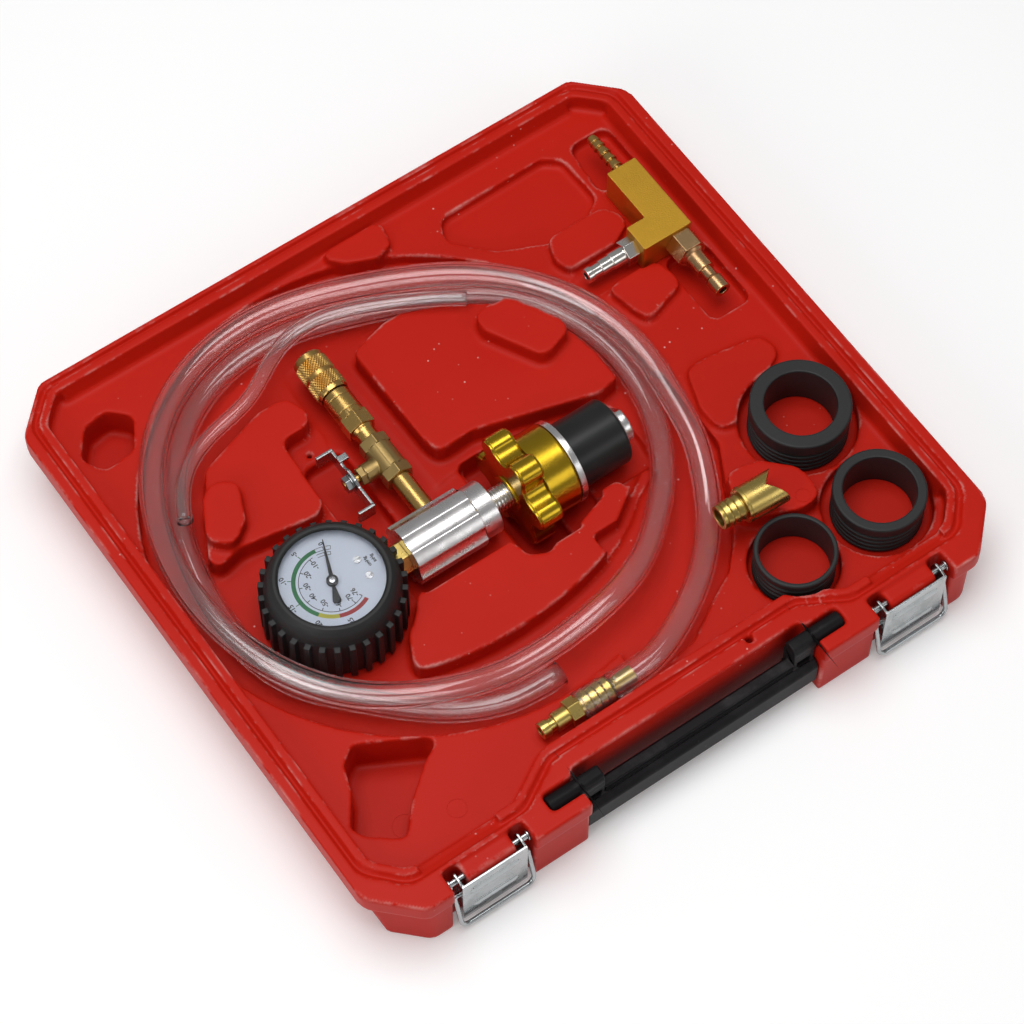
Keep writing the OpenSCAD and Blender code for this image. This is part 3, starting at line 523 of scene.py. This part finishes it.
def aim(made: bpy.types.Object, place: Vector, back: Vector) -> None:
    """Puts a lamp or camera at a place.

    Args:
        made: The lamp or camera.
        place: Where it stands, in metres.
        back: The direction that it faces away from.
    """
    made.location = place
    made.rotation_mode = "QUATERNION"
    made.rotation_quaternion = (-back).to_track_quat("-Z", "Y")


def mesh_of(curve: bpy.types.Curve) -> bpy.types.Mesh:
    """Turns a curve or a text into a mesh, and drops it."""
    holder = place_new(curve.name, curve)
    bpy.context.view_layer.update()
    mesh = bpy.data.meshes.new_from_object(holder)
    bpy.data.objects.remove(holder)
    bpy.data.curves.remove(curve)
    return mesh


class Workshop:
    """Makes objects from meshes, and puts them on the frame."""

    def __init__(self) -> None:
        """Notes which body carries each CAD node."""
        bodies = frame["record"]["behaviour"]["bodies"]
        self.carrier = {node: body for body, nodes in bodies.items() for node in nodes}

    @staticmethod
    def thing(name: str, mesh: bpy.types.Mesh, finish: Finish) -> bpy.types.Object:
        """Makes an object with one finish.

        Args:
            name: The object's name.
            mesh: Its mesh, in place.
            finish: Its finish.

        Returns:
            The new object.
        """
        mesh.materials.clear()
        mesh.materials.append(finish.build())
        return place_new(name, mesh)

    @staticmethod
    def from_bmesh(name: str, bm: bmesh.types.BMesh, smooth: bool = True) -> bpy.types.Mesh:
        """Turns a bmesh into a mesh, and frees it.

        Args:
            name: The mesh's name.
            bm: The bmesh.
            smooth: Whether faces are shaded smooth.

        Returns:
            The mesh.
        """
        for face in bm.faces:
            face.smooth = smooth
        mesh = bpy.data.meshes.new(name)
        bm.to_mesh(mesh)
        bm.free()
        return mesh

    def join(self, whole: bmesh.types.BMesh, part: bmesh.types.BMesh, smooth: bool = True) -> None:
        """Adds one bmesh to another, and frees it.

        Args:
            whole: The bmesh that grows.
            part: The bmesh that is added.
            smooth: Whether its faces are shaded smooth.
        """
        mesh = self.from_bmesh("part", part, smooth)
        whole.from_mesh(mesh)
        bpy.data.meshes.remove(mesh)

    def seat(self, made: bpy.types.Object, body: str, finish: Finish, *nodes: str) -> bpy.types.Object:
        """Puts an object on its body, and hides the CAD nodes that it stands for.

        Args:
            made: The object.
            body: The body that carries it.
            finish: Not used.
            nodes: The CAD nodes that it stands for.

        Returns:
            The same object.
        """
        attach(made, body)
        if nodes:
            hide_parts(*nodes)
        LOG.info("%s rides on %s", made.name, body)
        return made

    @staticmethod
    def merged(node: str) -> bmesh.types.BMesh:
        """A CAD node's mesh with its loose triangles joined.

        Args:
            node: The CAD node.

        Returns:
            A bmesh of it.
        """
        bm = bmesh.new()
        bm.from_mesh(frame["nodes"][node].data)
        bmesh.ops.remove_doubles(bm, verts=bm.verts, dist=MERGE_GAP)
        return bm

    @staticmethod
    def mark_edges(mesh: bpy.types.Mesh, full: float) -> None:
        """Stores how convex each vertex is, for wear and painted highlights along edges.

        Args:
            mesh: The mesh to mark.
            full: The angle between faces, in radians, that counts as a full edge.
        """
        bm = bmesh.new()
        bm.from_mesh(mesh)
        sharp = [0.0] * len(bm.verts)
        for edge in bm.edges:
            angle = edge.calc_face_angle_signed(0.0)
            for vert in edge.verts:
                sharp[vert.index] = max(sharp[vert.index], angle)
        bm.free()
        marks = mesh.attributes.new(EDGE_ATTRIBUTE, "FLOAT", "POINT")
        marks.data.foreach_set("value", [max(0.0, min(1.0, angle / full)) for angle in sharp])

    @staticmethod
    def turned(profile: Sequence[Tuple[float, float]], axis: Axis, centre: Vector,
               steps: int = 64) -> bmesh.types.BMesh:
        """Spins a closed outline about an axis, as a lathe would cut it.

        Args:
            profile: Pairs of distance along the axis and radius, in millimetres.
            axis: The axis to spin about.
            centre: A point on the axis, in millimetres.
            steps: Faces around.

        Returns:
            The closed bmesh in metres.
        """
        along = Vector((axis is Axis.X, axis is Axis.Y, axis is Axis.Z))
        out = Vector((1, 0, 0)) if axis is Axis.Z else Vector((0, 0, 1))
        base = centre - along * centre.dot(along)
        bm = bmesh.new()
        verts = [bm.verts.new((base + along * place + out * radius) * MM) for place, radius in profile]
        edges = [bm.edges.new(pair) for pair in zip(verts, verts[1:] + verts[:1])]
        bmesh.ops.spin(bm, geom=[*verts, *edges], cent=base * MM, axis=along, dvec=(0, 0, 0),
                       angle=2 * math.pi, steps=steps, use_merge=True)
        bmesh.ops.remove_doubles(bm, verts=bm.verts, dist=SPIN_GAP)
        bmesh.ops.recalc_face_normals(bm, faces=bm.faces)
        return bm

    def turned_piece(self, name: str, bm: bmesh.types.BMesh, body: str, finish: Finish,
                     *nodes: str) -> bpy.types.Object:
        """Seats a turned piece, with its corners shaded sharp.

        Args:
            name: The piece's name.
            bm: Its bmesh.
            body: The body that carries it.
            finish: Its finish.
            nodes: The CAD nodes that it stands for.

        Returns:
            The new piece.
        """
        mesh = self.from_bmesh(name, bm)
        mesh.set_sharp_from_angle(angle=SHARP_ANGLE)
        return self.seat(self.thing(name, mesh, finish), body, finish, *nodes)

    def softened(self, node: str, finish: Finish, width: float, segments: int = 2) -> bpy.types.Object:
        """A copy of a CAD node with its edges broken as a real piece's are.

        Args:
            node: The CAD node.
            finish: Its finish.
            width: Width of the broken edge in millimetres.
            segments: Faces across the broken edge.

        Returns:
            The new piece.
        """
        bm = self.merged(node)
        bmesh.ops.dissolve_limit(bm, angle_limit=FLAT_ANGLE, verts=bm.verts, edges=bm.edges)
        corners = [e for e in bm.edges if e.calc_face_angle(0.0) > CORNER_ANGLE]
        bmesh.ops.bevel(bm, geom=corners, offset=width * MM, offset_type="OFFSET", segments=segments,
                        profile=0.5, affect="EDGES", clamp_overlap=False, material=-1)
        mesh = self.from_bmesh(node + "_soft", bm)
        self.mark_edges(mesh, CUT_EDGE)
        made = self.thing(node + "_piece", mesh, finish)
        normals = made.modifiers.new("normals", "WEIGHTED_NORMAL")
        normals.weight = 80
        return self.seat(made, self.carrier[node], finish, node)


SHOP = Workshop()


@dataclass
class Stage:
    """The floor, the light and the camera."""

    azimuth: float = -35.02
    elevation: float = 60.95
    target: Point = (-9.6, -20.7, 40.0)
    distance: float = 1498.6
    lens: float = 120.6
    sensor: float = 36.0
    view_end: float = 20.0
    floor_half: float = 4.0
    room_light: float = 0.25

    def build(self) -> None:
        """Makes the floor, lamps, world and camera."""
        self.floor()
        self.lamps()
        self.world()
        self.camera()
        bpy.context.scene.view_settings.view_transform = "Standard"

    def floor(self) -> None:
        """A plain pale floor under the case."""
        bm = bmesh.new()
        bmesh.ops.create_grid(bm, x_segments=1, y_segments=1, size=self.floor_half)
        finish = PaleFloor("pale_floor", "", (0.93, 0.93, 0.93), 0.9)
        made = SHOP.thing("floor", SHOP.from_bmesh("floor", bm, False), finish)

    def lamps(self) -> None:
        """Soft studio lamps: a wide one over the case and two weak ones from the sides."""
        for name, place, size, power in (
                ("top_lamp", (-0.10, 0.10, 1.6), 1.2, 17.5),
                ("left_lamp", (-1.5, -0.4, 0.9), 0.8, 5.6),
                ("front_lamp", (0.7, -1.6, 0.9), 0.7, 2.4)):
            data = bpy.data.lights.new(name, "AREA")
            data.size = size
            data.energy = power
            aim(place_new(name, data), Vector(place), Vector(place))

    def world(self) -> None:
        """A pale room around the case."""
        world = bpy.data.worlds.new("room")
        world.use_nodes = True
        back = world.node_tree.nodes["Background"]
        back.inputs["Color"].default_value = WHITE
        back.inputs["Strength"].default_value = self.room_light
        bpy.context.scene.world = world

    def camera(self) -> None:
        """The camera at the photograph's angle."""
        turn, rise = math.radians(self.azimuth), math.radians(self.elevation)
        back = Vector((math.sin(turn) * math.cos(rise), -math.cos(turn) * math.cos(rise), math.sin(rise)))
        data = bpy.data.cameras.new("photo_camera")
        data.lens = self.lens
        data.sensor_width = self.sensor
        data.clip_end = self.view_end
        made = place_new("photo_camera", data)
        aim(made, (Vector(self.target) + back * self.distance) * MM, back)
        bpy.context.scene.camera = made


def bell(value: float, centre: float, width: float) -> float:
    """A smooth hump of height 1."""
    return math.exp(-((value - centre) / width) ** 2)


def ramp(value: float) -> float:
    """A smooth step from 0 to 1."""
    share = max(0.0, min(1.0, value))
    return share * share * (3.0 - 2.0 * share)


@dataclass
class Hoses:
    """The two clear hoses, lying in the loop channel of the case."""

    loop_x: float = -35.0
    loop_y: float = 19.0
    low_z: float = 30.4
    fill_radius: float = 6.0
    fill_bore: float = 4.5
    vent_radius: float = 3.7
    vent_bore: float = 2.7
    fill_start: float = 270.0
    fill_end: float = -370.0
    fill_step: float = 2.5
    vent_start: float = 158.0
    vent_end: float = 41.0
    vent_step: float = 1.625
    vent_z: float = 39.8
    stack_square: float = 159.0
    tail_parts: int = 5
    sides: int = 10
    fill_length: float = 1.387
    vent_length: float = 0.192
    tail: Tuple[Point, ...] = (
        (81, -24, 39.6), (77.5, -38, 39), (71.5, -52, 37.8), (63.5, -66, 36.6), (53.5, -79, 36.2),
        (41.5, -90.5, 36.5), (28, -100, 37), (14, -107.5, 37.4), (2, -112, 37.6), (-8, -113.5, 37.65),
        (-24, -113.5, 37.65))

    def outer(self, turn: float) -> float:
        """Radius of the outer strand at an angle in degrees."""
        a = (turn + 90.0) % 360.0 - 90.0
        r = math.radians(a)
        waves = 4.9 * math.cos(2 * r) - 4.8 * math.sin(2 * r) + 3.7 * math.cos(3 * r) - 2.4 * math.sin(3 * r)
        return 110.0 + waves + 5.0 * bell(a, 35.0, 30.0)

    def spread(self, turn: float) -> float:
        """How far the inner strand lies inside the outer one."""
        a = (turn + 90.0) % 360.0 - 90.0
        bed = 9.5 - 7.0 * bell(a, 206.0, 28.0) - 7.5 * bell(a, 30.0, 32.0)
        return bed - 18.5 * (ramp((a - 216.0) / 46.0) + ramp((-40.0 - a) / 46.0))

    def at(self, turn: float, radius: float, height: float) -> Vector:
        """A point about the loop's centre, in millimetres."""
        r = math.radians(turn)
        return Vector((self.loop_x + radius * math.cos(r), self.loop_y + radius * math.sin(r), height))

    def fill_point(self, turn: float) -> Vector:
        """A point of the fill hose on its two turns.

        Args:
            turn: The angle in degrees, falling along the hose.

        Returns:
            The point in millimetres.
        """
        share = ramp((-15.0 - turn) / 72.0)
        gap = self.spread(turn)
        lift = math.sqrt(self.stack_square - gap * gap)
        return self.at(turn, self.outer(turn) - gap + share * gap, self.low_z + share * lift)

    @staticmethod
    def curve_through(points: Sequence[Vector], parts: int) -> List[Vector]:
        """A smooth line through points.

        Args:
            points: The points, with one extra at each end.
            parts: Steps between two points.

        Returns:
            The finer points.
        """
        made: List[Vector] = []
        for a, b, c, d in zip(points, points[1:], points[2:], points[3:]):
            for i in range(parts):
                t = i / parts
                made.append(0.5 * (2 * b + (c - a) * t + (2 * a - 5 * b + 4 * c - d) * t ** 2
                                   + (3 * b - a - 3 * c + d) * t ** 3))
        return made

    def fill_route(self) -> List[Vector]:
        """The fill hose's line: two turns, then the tail to its connector."""
        steps = int((self.fill_start - self.fill_end) / self.fill_step)
        loop = [self.fill_point(self.fill_start - self.fill_step * i) for i in range(steps + 1)]
        tail = [Vector(p) for p in self.tail]
        last = tail[-1] + (tail[-1] - tail[-2])
        end = self.curve_through([loop[-2], loop[-1], *tail, last], self.tail_parts)
        return loop[:-1] + end + [tail[-1]]

    def vent_route(self) -> List[Vector]:
        """The vent hose's line, on top of the lower strand."""
        made = []
        for i in range(int((self.vent_start - self.vent_end) / self.vent_step) + 1):
            turn = self.vent_start - self.vent_step * i
            radius = self.outer(turn) - 11.0 - 20.0 * bell(turn, 117.0, 22.0)
            made.append(self.at(turn, radius, self.vent_z - 0.5 * bell(turn, 117.0, 18.0)))
        return made

    def skin(self, name: str, route: Sequence[Vector], radius: float) -> bpy.types.Mesh:
        """One round skin along a line.

        Args:
            name: A name for the line.
            route: The line, in millimetres.
            radius: The skin's radius, in millimetres.

        Returns:
            Its mesh.
        """
        curve = bpy.data.curves.new(name, "CURVE")
        curve.dimensions = "3D"
        curve.bevel_depth = radius * MM
        curve.bevel_resolution = self.sides
        line = curve.splines.new("POLY")
        line.points.add(len(route) - 1)
        for target, point in zip(line.points, route):
            target.co = (*(point * MM), 1.0)
        return mesh_of(curve)

    def tube(self, node: str, route: Sequence[Vector], radius: float, bore: float) -> bpy.types.Object:
        """A hose with its bore and cut ends.

        Args:
            node: The CAD node that it stands for.
            route: The line, in millimetres.
            radius: Outside radius, in millimetres.
            bore: Bore radius, in millimetres.

        Returns:
            The new piece.
        """
        name = node + "_tube"
        bm = bmesh.new()
        bm.from_mesh(self.skin(name + "_outer", route, radius))
        outer_faces = set(bm.faces)
        bm.from_mesh(self.skin(name + "_inner", route, bore))
        bmesh.ops.reverse_faces(bm, faces=[f for f in bm.faces if f not in outer_faces])
        rims = [e for e in bm.edges if e.is_boundary]
        for end in (route[0] * MM, route[-1] * MM):
            reach = 1.5 * radius * MM
            near = [e for e in rims if (e.verts[0].co - end).length < reach]
            bmesh.ops.bridge_loops(bm, edges=near)
        bmesh.ops.recalc_face_normals(bm, faces=bm.faces)
        return SHOP.seat(SHOP.thing(name, SHOP.from_bmesh(name, bm), HOSE), "hoses", HOSE, node)

    def stretched_end(self) -> None:
        """The end of the fill hose, stretched over the connector's barbs."""
        low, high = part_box("hose_connector")
        profile = ((-23.7, 6.0), (-25.0, 6.25), (-27.5, 6.8), (-39.4, 6.85), (-40.1, 6.7), (-40.2, 6.36),
                   (-27.2, 6.36), (-25.0, 5.3), (-23.7, 5.1))
        SHOP.turned_piece("fill_hose_end", SHOP.turned(profile, Axis.X, (low + high) / 2 / MM), "hoses", HOSE)

    def build(self) -> None:
        connector = SHOP.softened("hose_connector", BRASS_X, 0.25)
        self.stretched_end()
        fill = self.fill_route()
        made = self.tube("fill_hose", fill, self.fill_radius, self.fill_bore)
        vent = self.vent_route()
        made = self.tube("vent_hose", vent, self.vent_radius, self.vent_bore)


@dataclass
class CaseHalf:
    """The moulded case half with its handle and latches."""

    voxel: float = 1.0
    rounds: int = 6
    triangles: int = 190000
    quick_voxel: float = 2.0
    mark_steps: int = 40
    marks: Tuple[Tuple[float, float, float, float], ...] = (
        (99.3, -87.3, 41.0, 3.3), (-125.0, -106.0, 10.0, 5.5), (-107.2, -119.8, 31.0, 4.3))

    def tray(self) -> None:
        """A softened copy of the moulding, with edges as round as a blown half has."""
        mesh = SHOP.from_bmesh("case_tray_copy", SHOP.merged("case_tray"))
        made = SHOP.thing("case_moulding", mesh, RED)
        remesh = made.modifiers.new("voxels", "REMESH")
        remesh.mode = "VOXEL"
        remesh.voxel_size = self.voxel * MM
        smooth = made.modifiers.new("rounding", "SMOOTH")
        smooth.factor = 0.5
        smooth.iterations = self.rounds
        self.settle(made)
        faces = sum(len(p.vertices) - 2 for p in made.data.polygons)
        if faces > self.triangles:
            thin = made.modifiers.new("thinning", "DECIMATE")
            thin.ratio = self.triangles / faces
            self.settle(made)
        for face in made.data.polygons:
            face.use_smooth = True
        SHOP.mark_edges(made.data, MOULDED_EDGE)
        SHOP.seat(made, "case", RED, "case_tray")

    def mould_marks(self) -> None:
        """Fine raised rings that the mould's pins leave on flat places."""
        whole = bmesh.new()
        for x, y, z, radius in self.marks:
            profile = ((z - 0.3, radius - 0.35), (z + 0.18, radius - 0.2), (z + 0.18, radius + 0.2),
                       (z - 0.3, radius + 0.35))
            SHOP.join(whole, SHOP.turned(profile, Axis.Z, Vector((x, y, 0)), self.mark_steps))
        SHOP.turned_piece("mould_marks", whole, "case", RED)

    @staticmethod
    def settle(made: bpy.types.Object) -> None:
        """Applies an object's modifiers to its mesh.

        Args:
            made: The object.
        """
        bpy.context.view_layer.update()
        graph = bpy.context.evaluated_depsgraph_get()
        mesh = bpy.data.meshes.new_from_object(made.evaluated_get(graph))
        made.modifiers.clear()
        made.data = mesh

    def build(self) -> None:
        """Makes the tray, handle and latches."""
        self.tray()
        self.mould_marks()
        SHOP.softened("handle", BLACK_PLASTIC, 0.7, 3)
        SHOP.softened("latch_pins", ZINC, 0.2)
        for side in ("left", "right"):
            SHOP.softened("latch_lever_" + side, ZINC, 0.25)
            SHOP.softened("latch_bail_" + side, ZINC, 0.15)


@dataclass
class Gauge:
    """The vacuum gauge with its printed dial."""

    zero_angle: float = 68.5
    full_angle: float = 297.5
    full_cm: float = 76.0
    full_in: float = 29.92
    print_height: float = 0.05
    inner_radius: float = 14.4
    band_low: float = 15.8
    band_high: float = 17.7
    stroke: float = 0.06
    arc_step: float = 3.0
    pin_radius: float = 1.5
    number_size: float = 3.1
    unit_size: float = 2.2
    tick_width: float = 0.35
    frame_line: float = 0.22
    green_share: float = 0.645
    yellow_share: float = 0.78

    def __post_init__(self) -> None:
        """Takes the dial's centre and face height from the frame."""
        low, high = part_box("gauge_dial")
        middle = (low + high) / 2 / MM
        self.centre = Vector((middle.x, middle.y, high.z / MM))

    def angle(self, share: float) -> float:
        """The angle in degrees of a share of the full scale."""
        return self.zero_angle + share * (self.full_angle - self.zero_angle)

    def band(self, low: float, high: float, start: float, end: float) -> bmesh.types.BMesh:
        """A printed arc.

        Args:
            low: Inside radius.
            high: Outside radius.
            start: First angle in degrees.
            end: Last angle in degrees.

        Returns:
            A thin closed bmesh about the dial's centre, in millimetres.
        """
        bm = bmesh.new()
        turn = Matrix.Rotation(math.radians(start), 3, "Z")
        ends = [bm.verts.new(turn @ Vector((r, 0, 0))) for r in (low, high)]
        edge = bm.edges.new(ends)
        bmesh.ops.spin(bm, geom=[*ends, edge], cent=(0, 0, 0), axis=(0, 0, 1), dvec=(0, 0, 0),
                       angle=math.radians(end - start), steps=max(2, int(abs(end - start) / self.arc_step)),
                       use_merge=False)
        return self.thicken(bm)

    def thicken(self, bm: bmesh.types.BMesh) -> bmesh.types.BMesh:
        """Gives a flat print its thickness.

        Args:
            bm: The flat print.

        Returns:
            The same bmesh, closed.
        """
        raised = bmesh.ops.extrude_face_region(bm, geom=list(bm.faces))
        bmesh.ops.translate(bm, vec=(0, 0, self.print_height),
                            verts=[v for v in raised["geom"] if isinstance(v, bmesh.types.BMVert)])
        bmesh.ops.recalc_face_normals(bm, faces=bm.faces)
        return bm

    def tick(self, low: float, high: float, angle: float, width: float) -> bmesh.types.BMesh:
        """A printed radial line.

        Args:
            low: Inside radius.
            high: Outside radius.
            angle: Its angle in degrees.
            width: Its width.

        Returns:
            A thin closed bmesh.
        """
        half = math.degrees(width / (low + high))
        return self.band(low, high, angle - half, angle + half)

    def words(self, text: str, radius: float, angle: float, size: float) -> bmesh.types.BMesh:
        """A printed number, upright when the stem points down.

        Args:
            text: What it says.
            radius: Distance of its middle from the centre.
            angle: The angle in degrees.
            size: Height of the figures.

        Returns:
            A thin closed bmesh.
        """
        font = bpy.data.curves.new(text, "FONT")
        font.body = text
        font.size = size
        font.align_x = "CENTER"
        font.align_y = "CENTER"
        font.resolution_u = 3
        font.extrude = self.print_height / 2
        font.offset = self.stroke
        mesh = mesh_of(font)
        r = math.radians(angle)
        place = Matrix(((0, -1, 0, radius * math.cos(r)), (1, 0, 0, radius * math.sin(r)),
                        (0, 0, 1, self.print_height / 2), (0, 0, 0, 1)))
        mesh.transform(place)
        bm = bmesh.new()
        bm.from_mesh(mesh)
        return bm

    def lay(self, name: str, prints: Sequence[bmesh.types.BMesh], finish: Finish) -> None:
        """Joins prints into one piece on the dial.

        Args:
            name: The piece's name.
            prints: The prints, about the dial's centre.
            finish: Their ink.
        """
        whole = bmesh.new()
        for one in prints:
            SHOP.join(whole, one, False)
        bmesh.ops.translate(whole, vec=self.centre, verts=whole.verts)
        bmesh.ops.scale(whole, vec=(MM, MM, MM), verts=whole.verts)
        made = SHOP.thing(name, SHOP.from_bmesh(name, whole, False), finish)
        SHOP.seat(made, "head", finish)

    def needle_pin(self) -> None:
        """The bright pin that holds the needle's hub."""
        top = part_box("gauge_needle")[1].z / MM
        profile = ((top - 0.2, 0.0), (top - 0.2, self.pin_radius), (top + 0.16, self.pin_radius),
                   (top + 0.3, self.pin_radius - 0.3), (top + 0.3, 0.5), (top + 0.1, 0.35), (top + 0.1, 0.0))
        SHOP.turned_piece("needle_pin", SHOP.turned(profile, Axis.Z, self.centre, 40), "needle", STEEL)

    def scale_marks(self) -> List[bmesh.types.BMesh]:
        """Lines, ticks and numbers of both scales."""
        zero, inner, outer = self.zero_angle, self.inner_radius, self.band_high
        first, last = self.angle(8.0 / self.full_cm), self.angle(1.0)
        made = [self.band(inner, inner + 0.3, first, last)]
        for value in (10, 20, 30, 40, 50, 60, 70, 76):
            angle = self.angle(value / self.full_cm)
            made.append(self.tick(inner - 1.3, inner, angle, self.tick_width))
            made.append(self.words("-%d" % value, inner - 3.5, angle, self.number_size))
        for value in (5, 10, 15, 20, 25):
            angle = self.angle(value / self.full_in)
            made.append(self.words("-%d" % value, outer + 3.4, angle, self.number_size))
        made.append(self.words("0", outer + 1.6, zero + 3, 2.9))
        made.append(self.words("cmHg", 17.7, -1.0, self.unit_size))
        made.append(self.words("inHg", 20.6, -1.0, self.unit_size))
        for low, high in ((inner - 1.2, inner + 0.4), (self.band_low, outer)):
            for start, end in ((zero - 9, zero - 2), (zero + 2, first - 8)):
                made.append(self.band(low, low + self.frame_line, start, end))
                made.append(self.band(high - self.frame_line, high, start, end))
                made.append(self.tick(low, high, start, self.frame_line))
        return made

    def build(self) -> None:
        """Makes the boot, case, dial, prints, needle and window."""
        for row in (("gauge_boot", RUBBER, 0.35), ("gauge_case", GAUGE_WALL, 0.2), ("gauge_dial", DIAL, 0.1),
                    ("dial_screws", STEEL, 0.2, 3), ("gauge_needle", GAUGE_BLACK, 0.08)):
            SHOP.softened(*row)
        self.needle_pin()
        for row in (("gauge_lens", LENS, 0.2), ("gauge_socket", BRASS_X, 0.25),
                    ("bourdon_tube", BRASS_CAST, 0.06), ("gauge_movement", BRASS_X, 0.06),
                    ("sector_gear", BRASS_X, 0.06)):
            SHOP.softened(*row)
        green, yellow = self.angle(self.green_share), self.angle(self.yellow_share)
        self.lay("dial_numbers", self.scale_marks(), PRINT_GREY)
        low, high = self.band_low, self.band_high
        marks = [self.tick(high, high + 1.7, self.angle(v / self.full_in), self.tick_width)
                 for v in (5, 10, 15)]
        self.lay("dial_green", [self.band(low, high, self.zero_angle + 14, green), *marks], PRINT_GREEN)
        self.lay("dial_yellow", [self.band(low, high, green, yellow)], PRINT_YELLOW)
        self.lay("dial_red", [self.band(low, high, yellow, self.full_angle)], PRINT_RED)


@dataclass
class RefillHead:
    """Manifold, expanding plug, ball valve branch and quick coupler."""

    edge: float = 0.3
    diamonds_around: int = 34
    diamonds_along: int = 5
    knurl_low: float = 7.5
    knurl_high: float = 8.05
    knurl_bands: Tuple[Tuple[float, float], ...] = ((1.6, 10.2), (11.2, 19.8))
    plug_travel: float = 4.0
    spring_travel: float = 3.5

    def build(self) -> None:
        """Makes every piece of the head."""
        for row in (("manifold", ALUMINIUM, 0.35), ("centre_tube", STEEL_X, 0.1), ("knob", GOLD, 0.45, 3),
                    ("pressure_washer", STEEL_X, self.edge), ("end_washer", STEEL_X, 0.2),
                    ("end_nut", STEEL_X, self.edge)):
            SHOP.softened(*row)
        self.plug()
        for row in (("valve_inlet", BRASS_Y, self.edge), ("valve_outlet", BRASS_Y, self.edge),
                    ("valve_stem", BRASS_Y, self.edge), ("valve_body", BRASS_CAST, 0.4, 3),
                    ("valve_seats", SEAL_WHITE, 0.1), ("valve_ball", NICKEL, 0.1),
                    ("valve_lever", ZINC, 0.25), ("lever_nut", ZINC, 0.25), ("coupler_body", BRASS_Y, 0.25)):
            SHOP.softened(*row)
        self.sleeve()
        SHOP.softened("coupler_balls", STEEL, 0.05)
        self.spring()

    def knurl(self, start: float, end: float, centre: Vector) -> bmesh.types.BMesh:
        """A band of diamond knurling about the coupler's axis.

        Args:
            start: Where the band starts along Y, in millimetres.
            end: Where it ends.
            centre: A point on the axis, in millimetres.

        Returns:
            A closed ring with pointed diamonds outside.
        """
        around, along = 2 * self.diamonds_around, 2 * self.diamonds_along
        bm = bmesh.new()
        bmesh.ops.create_grid(bm, x_segments=around, y_segments=along, size=0.5)
        valleys = set()
        for vert in bm.verts:
            i, j = round((vert.co.x + 0.5) * around), round((vert.co.y + 0.5) * along)
            at_end = j in (0, along)
            if (i + j) % 2:
                valleys.add(vert)
            radius = self.knurl_low - 0.2 * at_end if (i + j) % 2 or at_end else self.knurl_high
            turn = 2 * math.pi * i / around
            place = start + (end - start) * j / along
            x, z = centre.x + radius * math.cos(turn), centre.z - radius * math.sin(turn)
            vert.co = Vector((x, place, z)) * MM
        for face in list(bm.faces):
            pair = [v for v in face.verts if v in valleys]
            bmesh.utils.face_split(face, pair[0], pair[1])
        bmesh.ops.remove_doubles(bm, verts=bm.verts, dist=SPIN_GAP)
        bmesh.ops.bridge_loops(bm, edges=[e for e in bm.edges if e.is_boundary])
        bmesh.ops.recalc_face_normals(bm, faces=bm.faces)
        return bm

    def sleeve(self) -> None:
        """The coupler's sliding sleeve with its two knurled bands."""
        low, high = (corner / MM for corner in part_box("coupler_sleeve"))
        centre, y = (low + high) / 2, low.y
        profile = ((0.0, 6.83), (0.0, 7.15), (0.8, 7.45), (21.8, 7.45), (22.8, 6.6), (22.8, 5.7), (20.8, 5.7),
                   (20.8, 5.28), (12.2, 5.28), (12.2, 6.83))
        bm = SHOP.turned([(y + place, radius) for place, radius in profile], Axis.Y, centre)
        for start, end in self.knurl_bands:
            SHOP.join(bm, self.knurl(y + start, y + end, centre))
        body = SHOP.carrier["coupler_sleeve"]
        SHOP.turned_piece("coupler_sleeve_piece", bm, body, BRASS_Y, "coupler_sleeve")

    def plug(self) -> None:
        """The rubber plug (which in the real kit shortens as the knob is turned), given a mesh of its own."""
        made = SHOP.softened("rubber_plug", PLUG_RUBBER, 0.5, 3)
        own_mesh(made)

    def spring(self) -> None:
        """The coupler spring (which in the real kit shortens as the sleeve is drawn back), given a mesh of
        its own.
        """
        made = SHOP.softened("coupler_spring", STEEL, 0.02)
        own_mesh(made)


@dataclass
class LooseParts:
    """The venturi unit, the adaptor rings and the suction tip."""

    edge: float = 0.3

    def build(self) -> None:
        for row in (("venturi_block", GOLD_BLASTED, 0.35), ("venturi_barb", BRASS_Y, 0.15),
                    ("venturi_nozzle", BRASS_Y, 0.1), ("venturi_nipple", NICKEL, 0.25),
                    ("air_plug", BRASS_ROSE, self.edge), ("ring_large", RUBBER, 0.4, 3),
                    ("ring_medium", RUBBER, 0.4, 3), ("ring_small", RUBBER, 0.4, 3),
                    ("suction_tip", BRASS_X, self.edge)):
            SHOP.softened(*row)


def main() -> None:
    """Builds the stage and every sub-assembly."""
    logging.basicConfig(level=logging.INFO, format="%(name)s: %(message)s")
    Stage().build()
    Hoses().build()
    CaseHalf().build()
    Gauge().build()
    RefillHead().build()
    LooseParts().build()


if __name__ == "__main__":
    main()
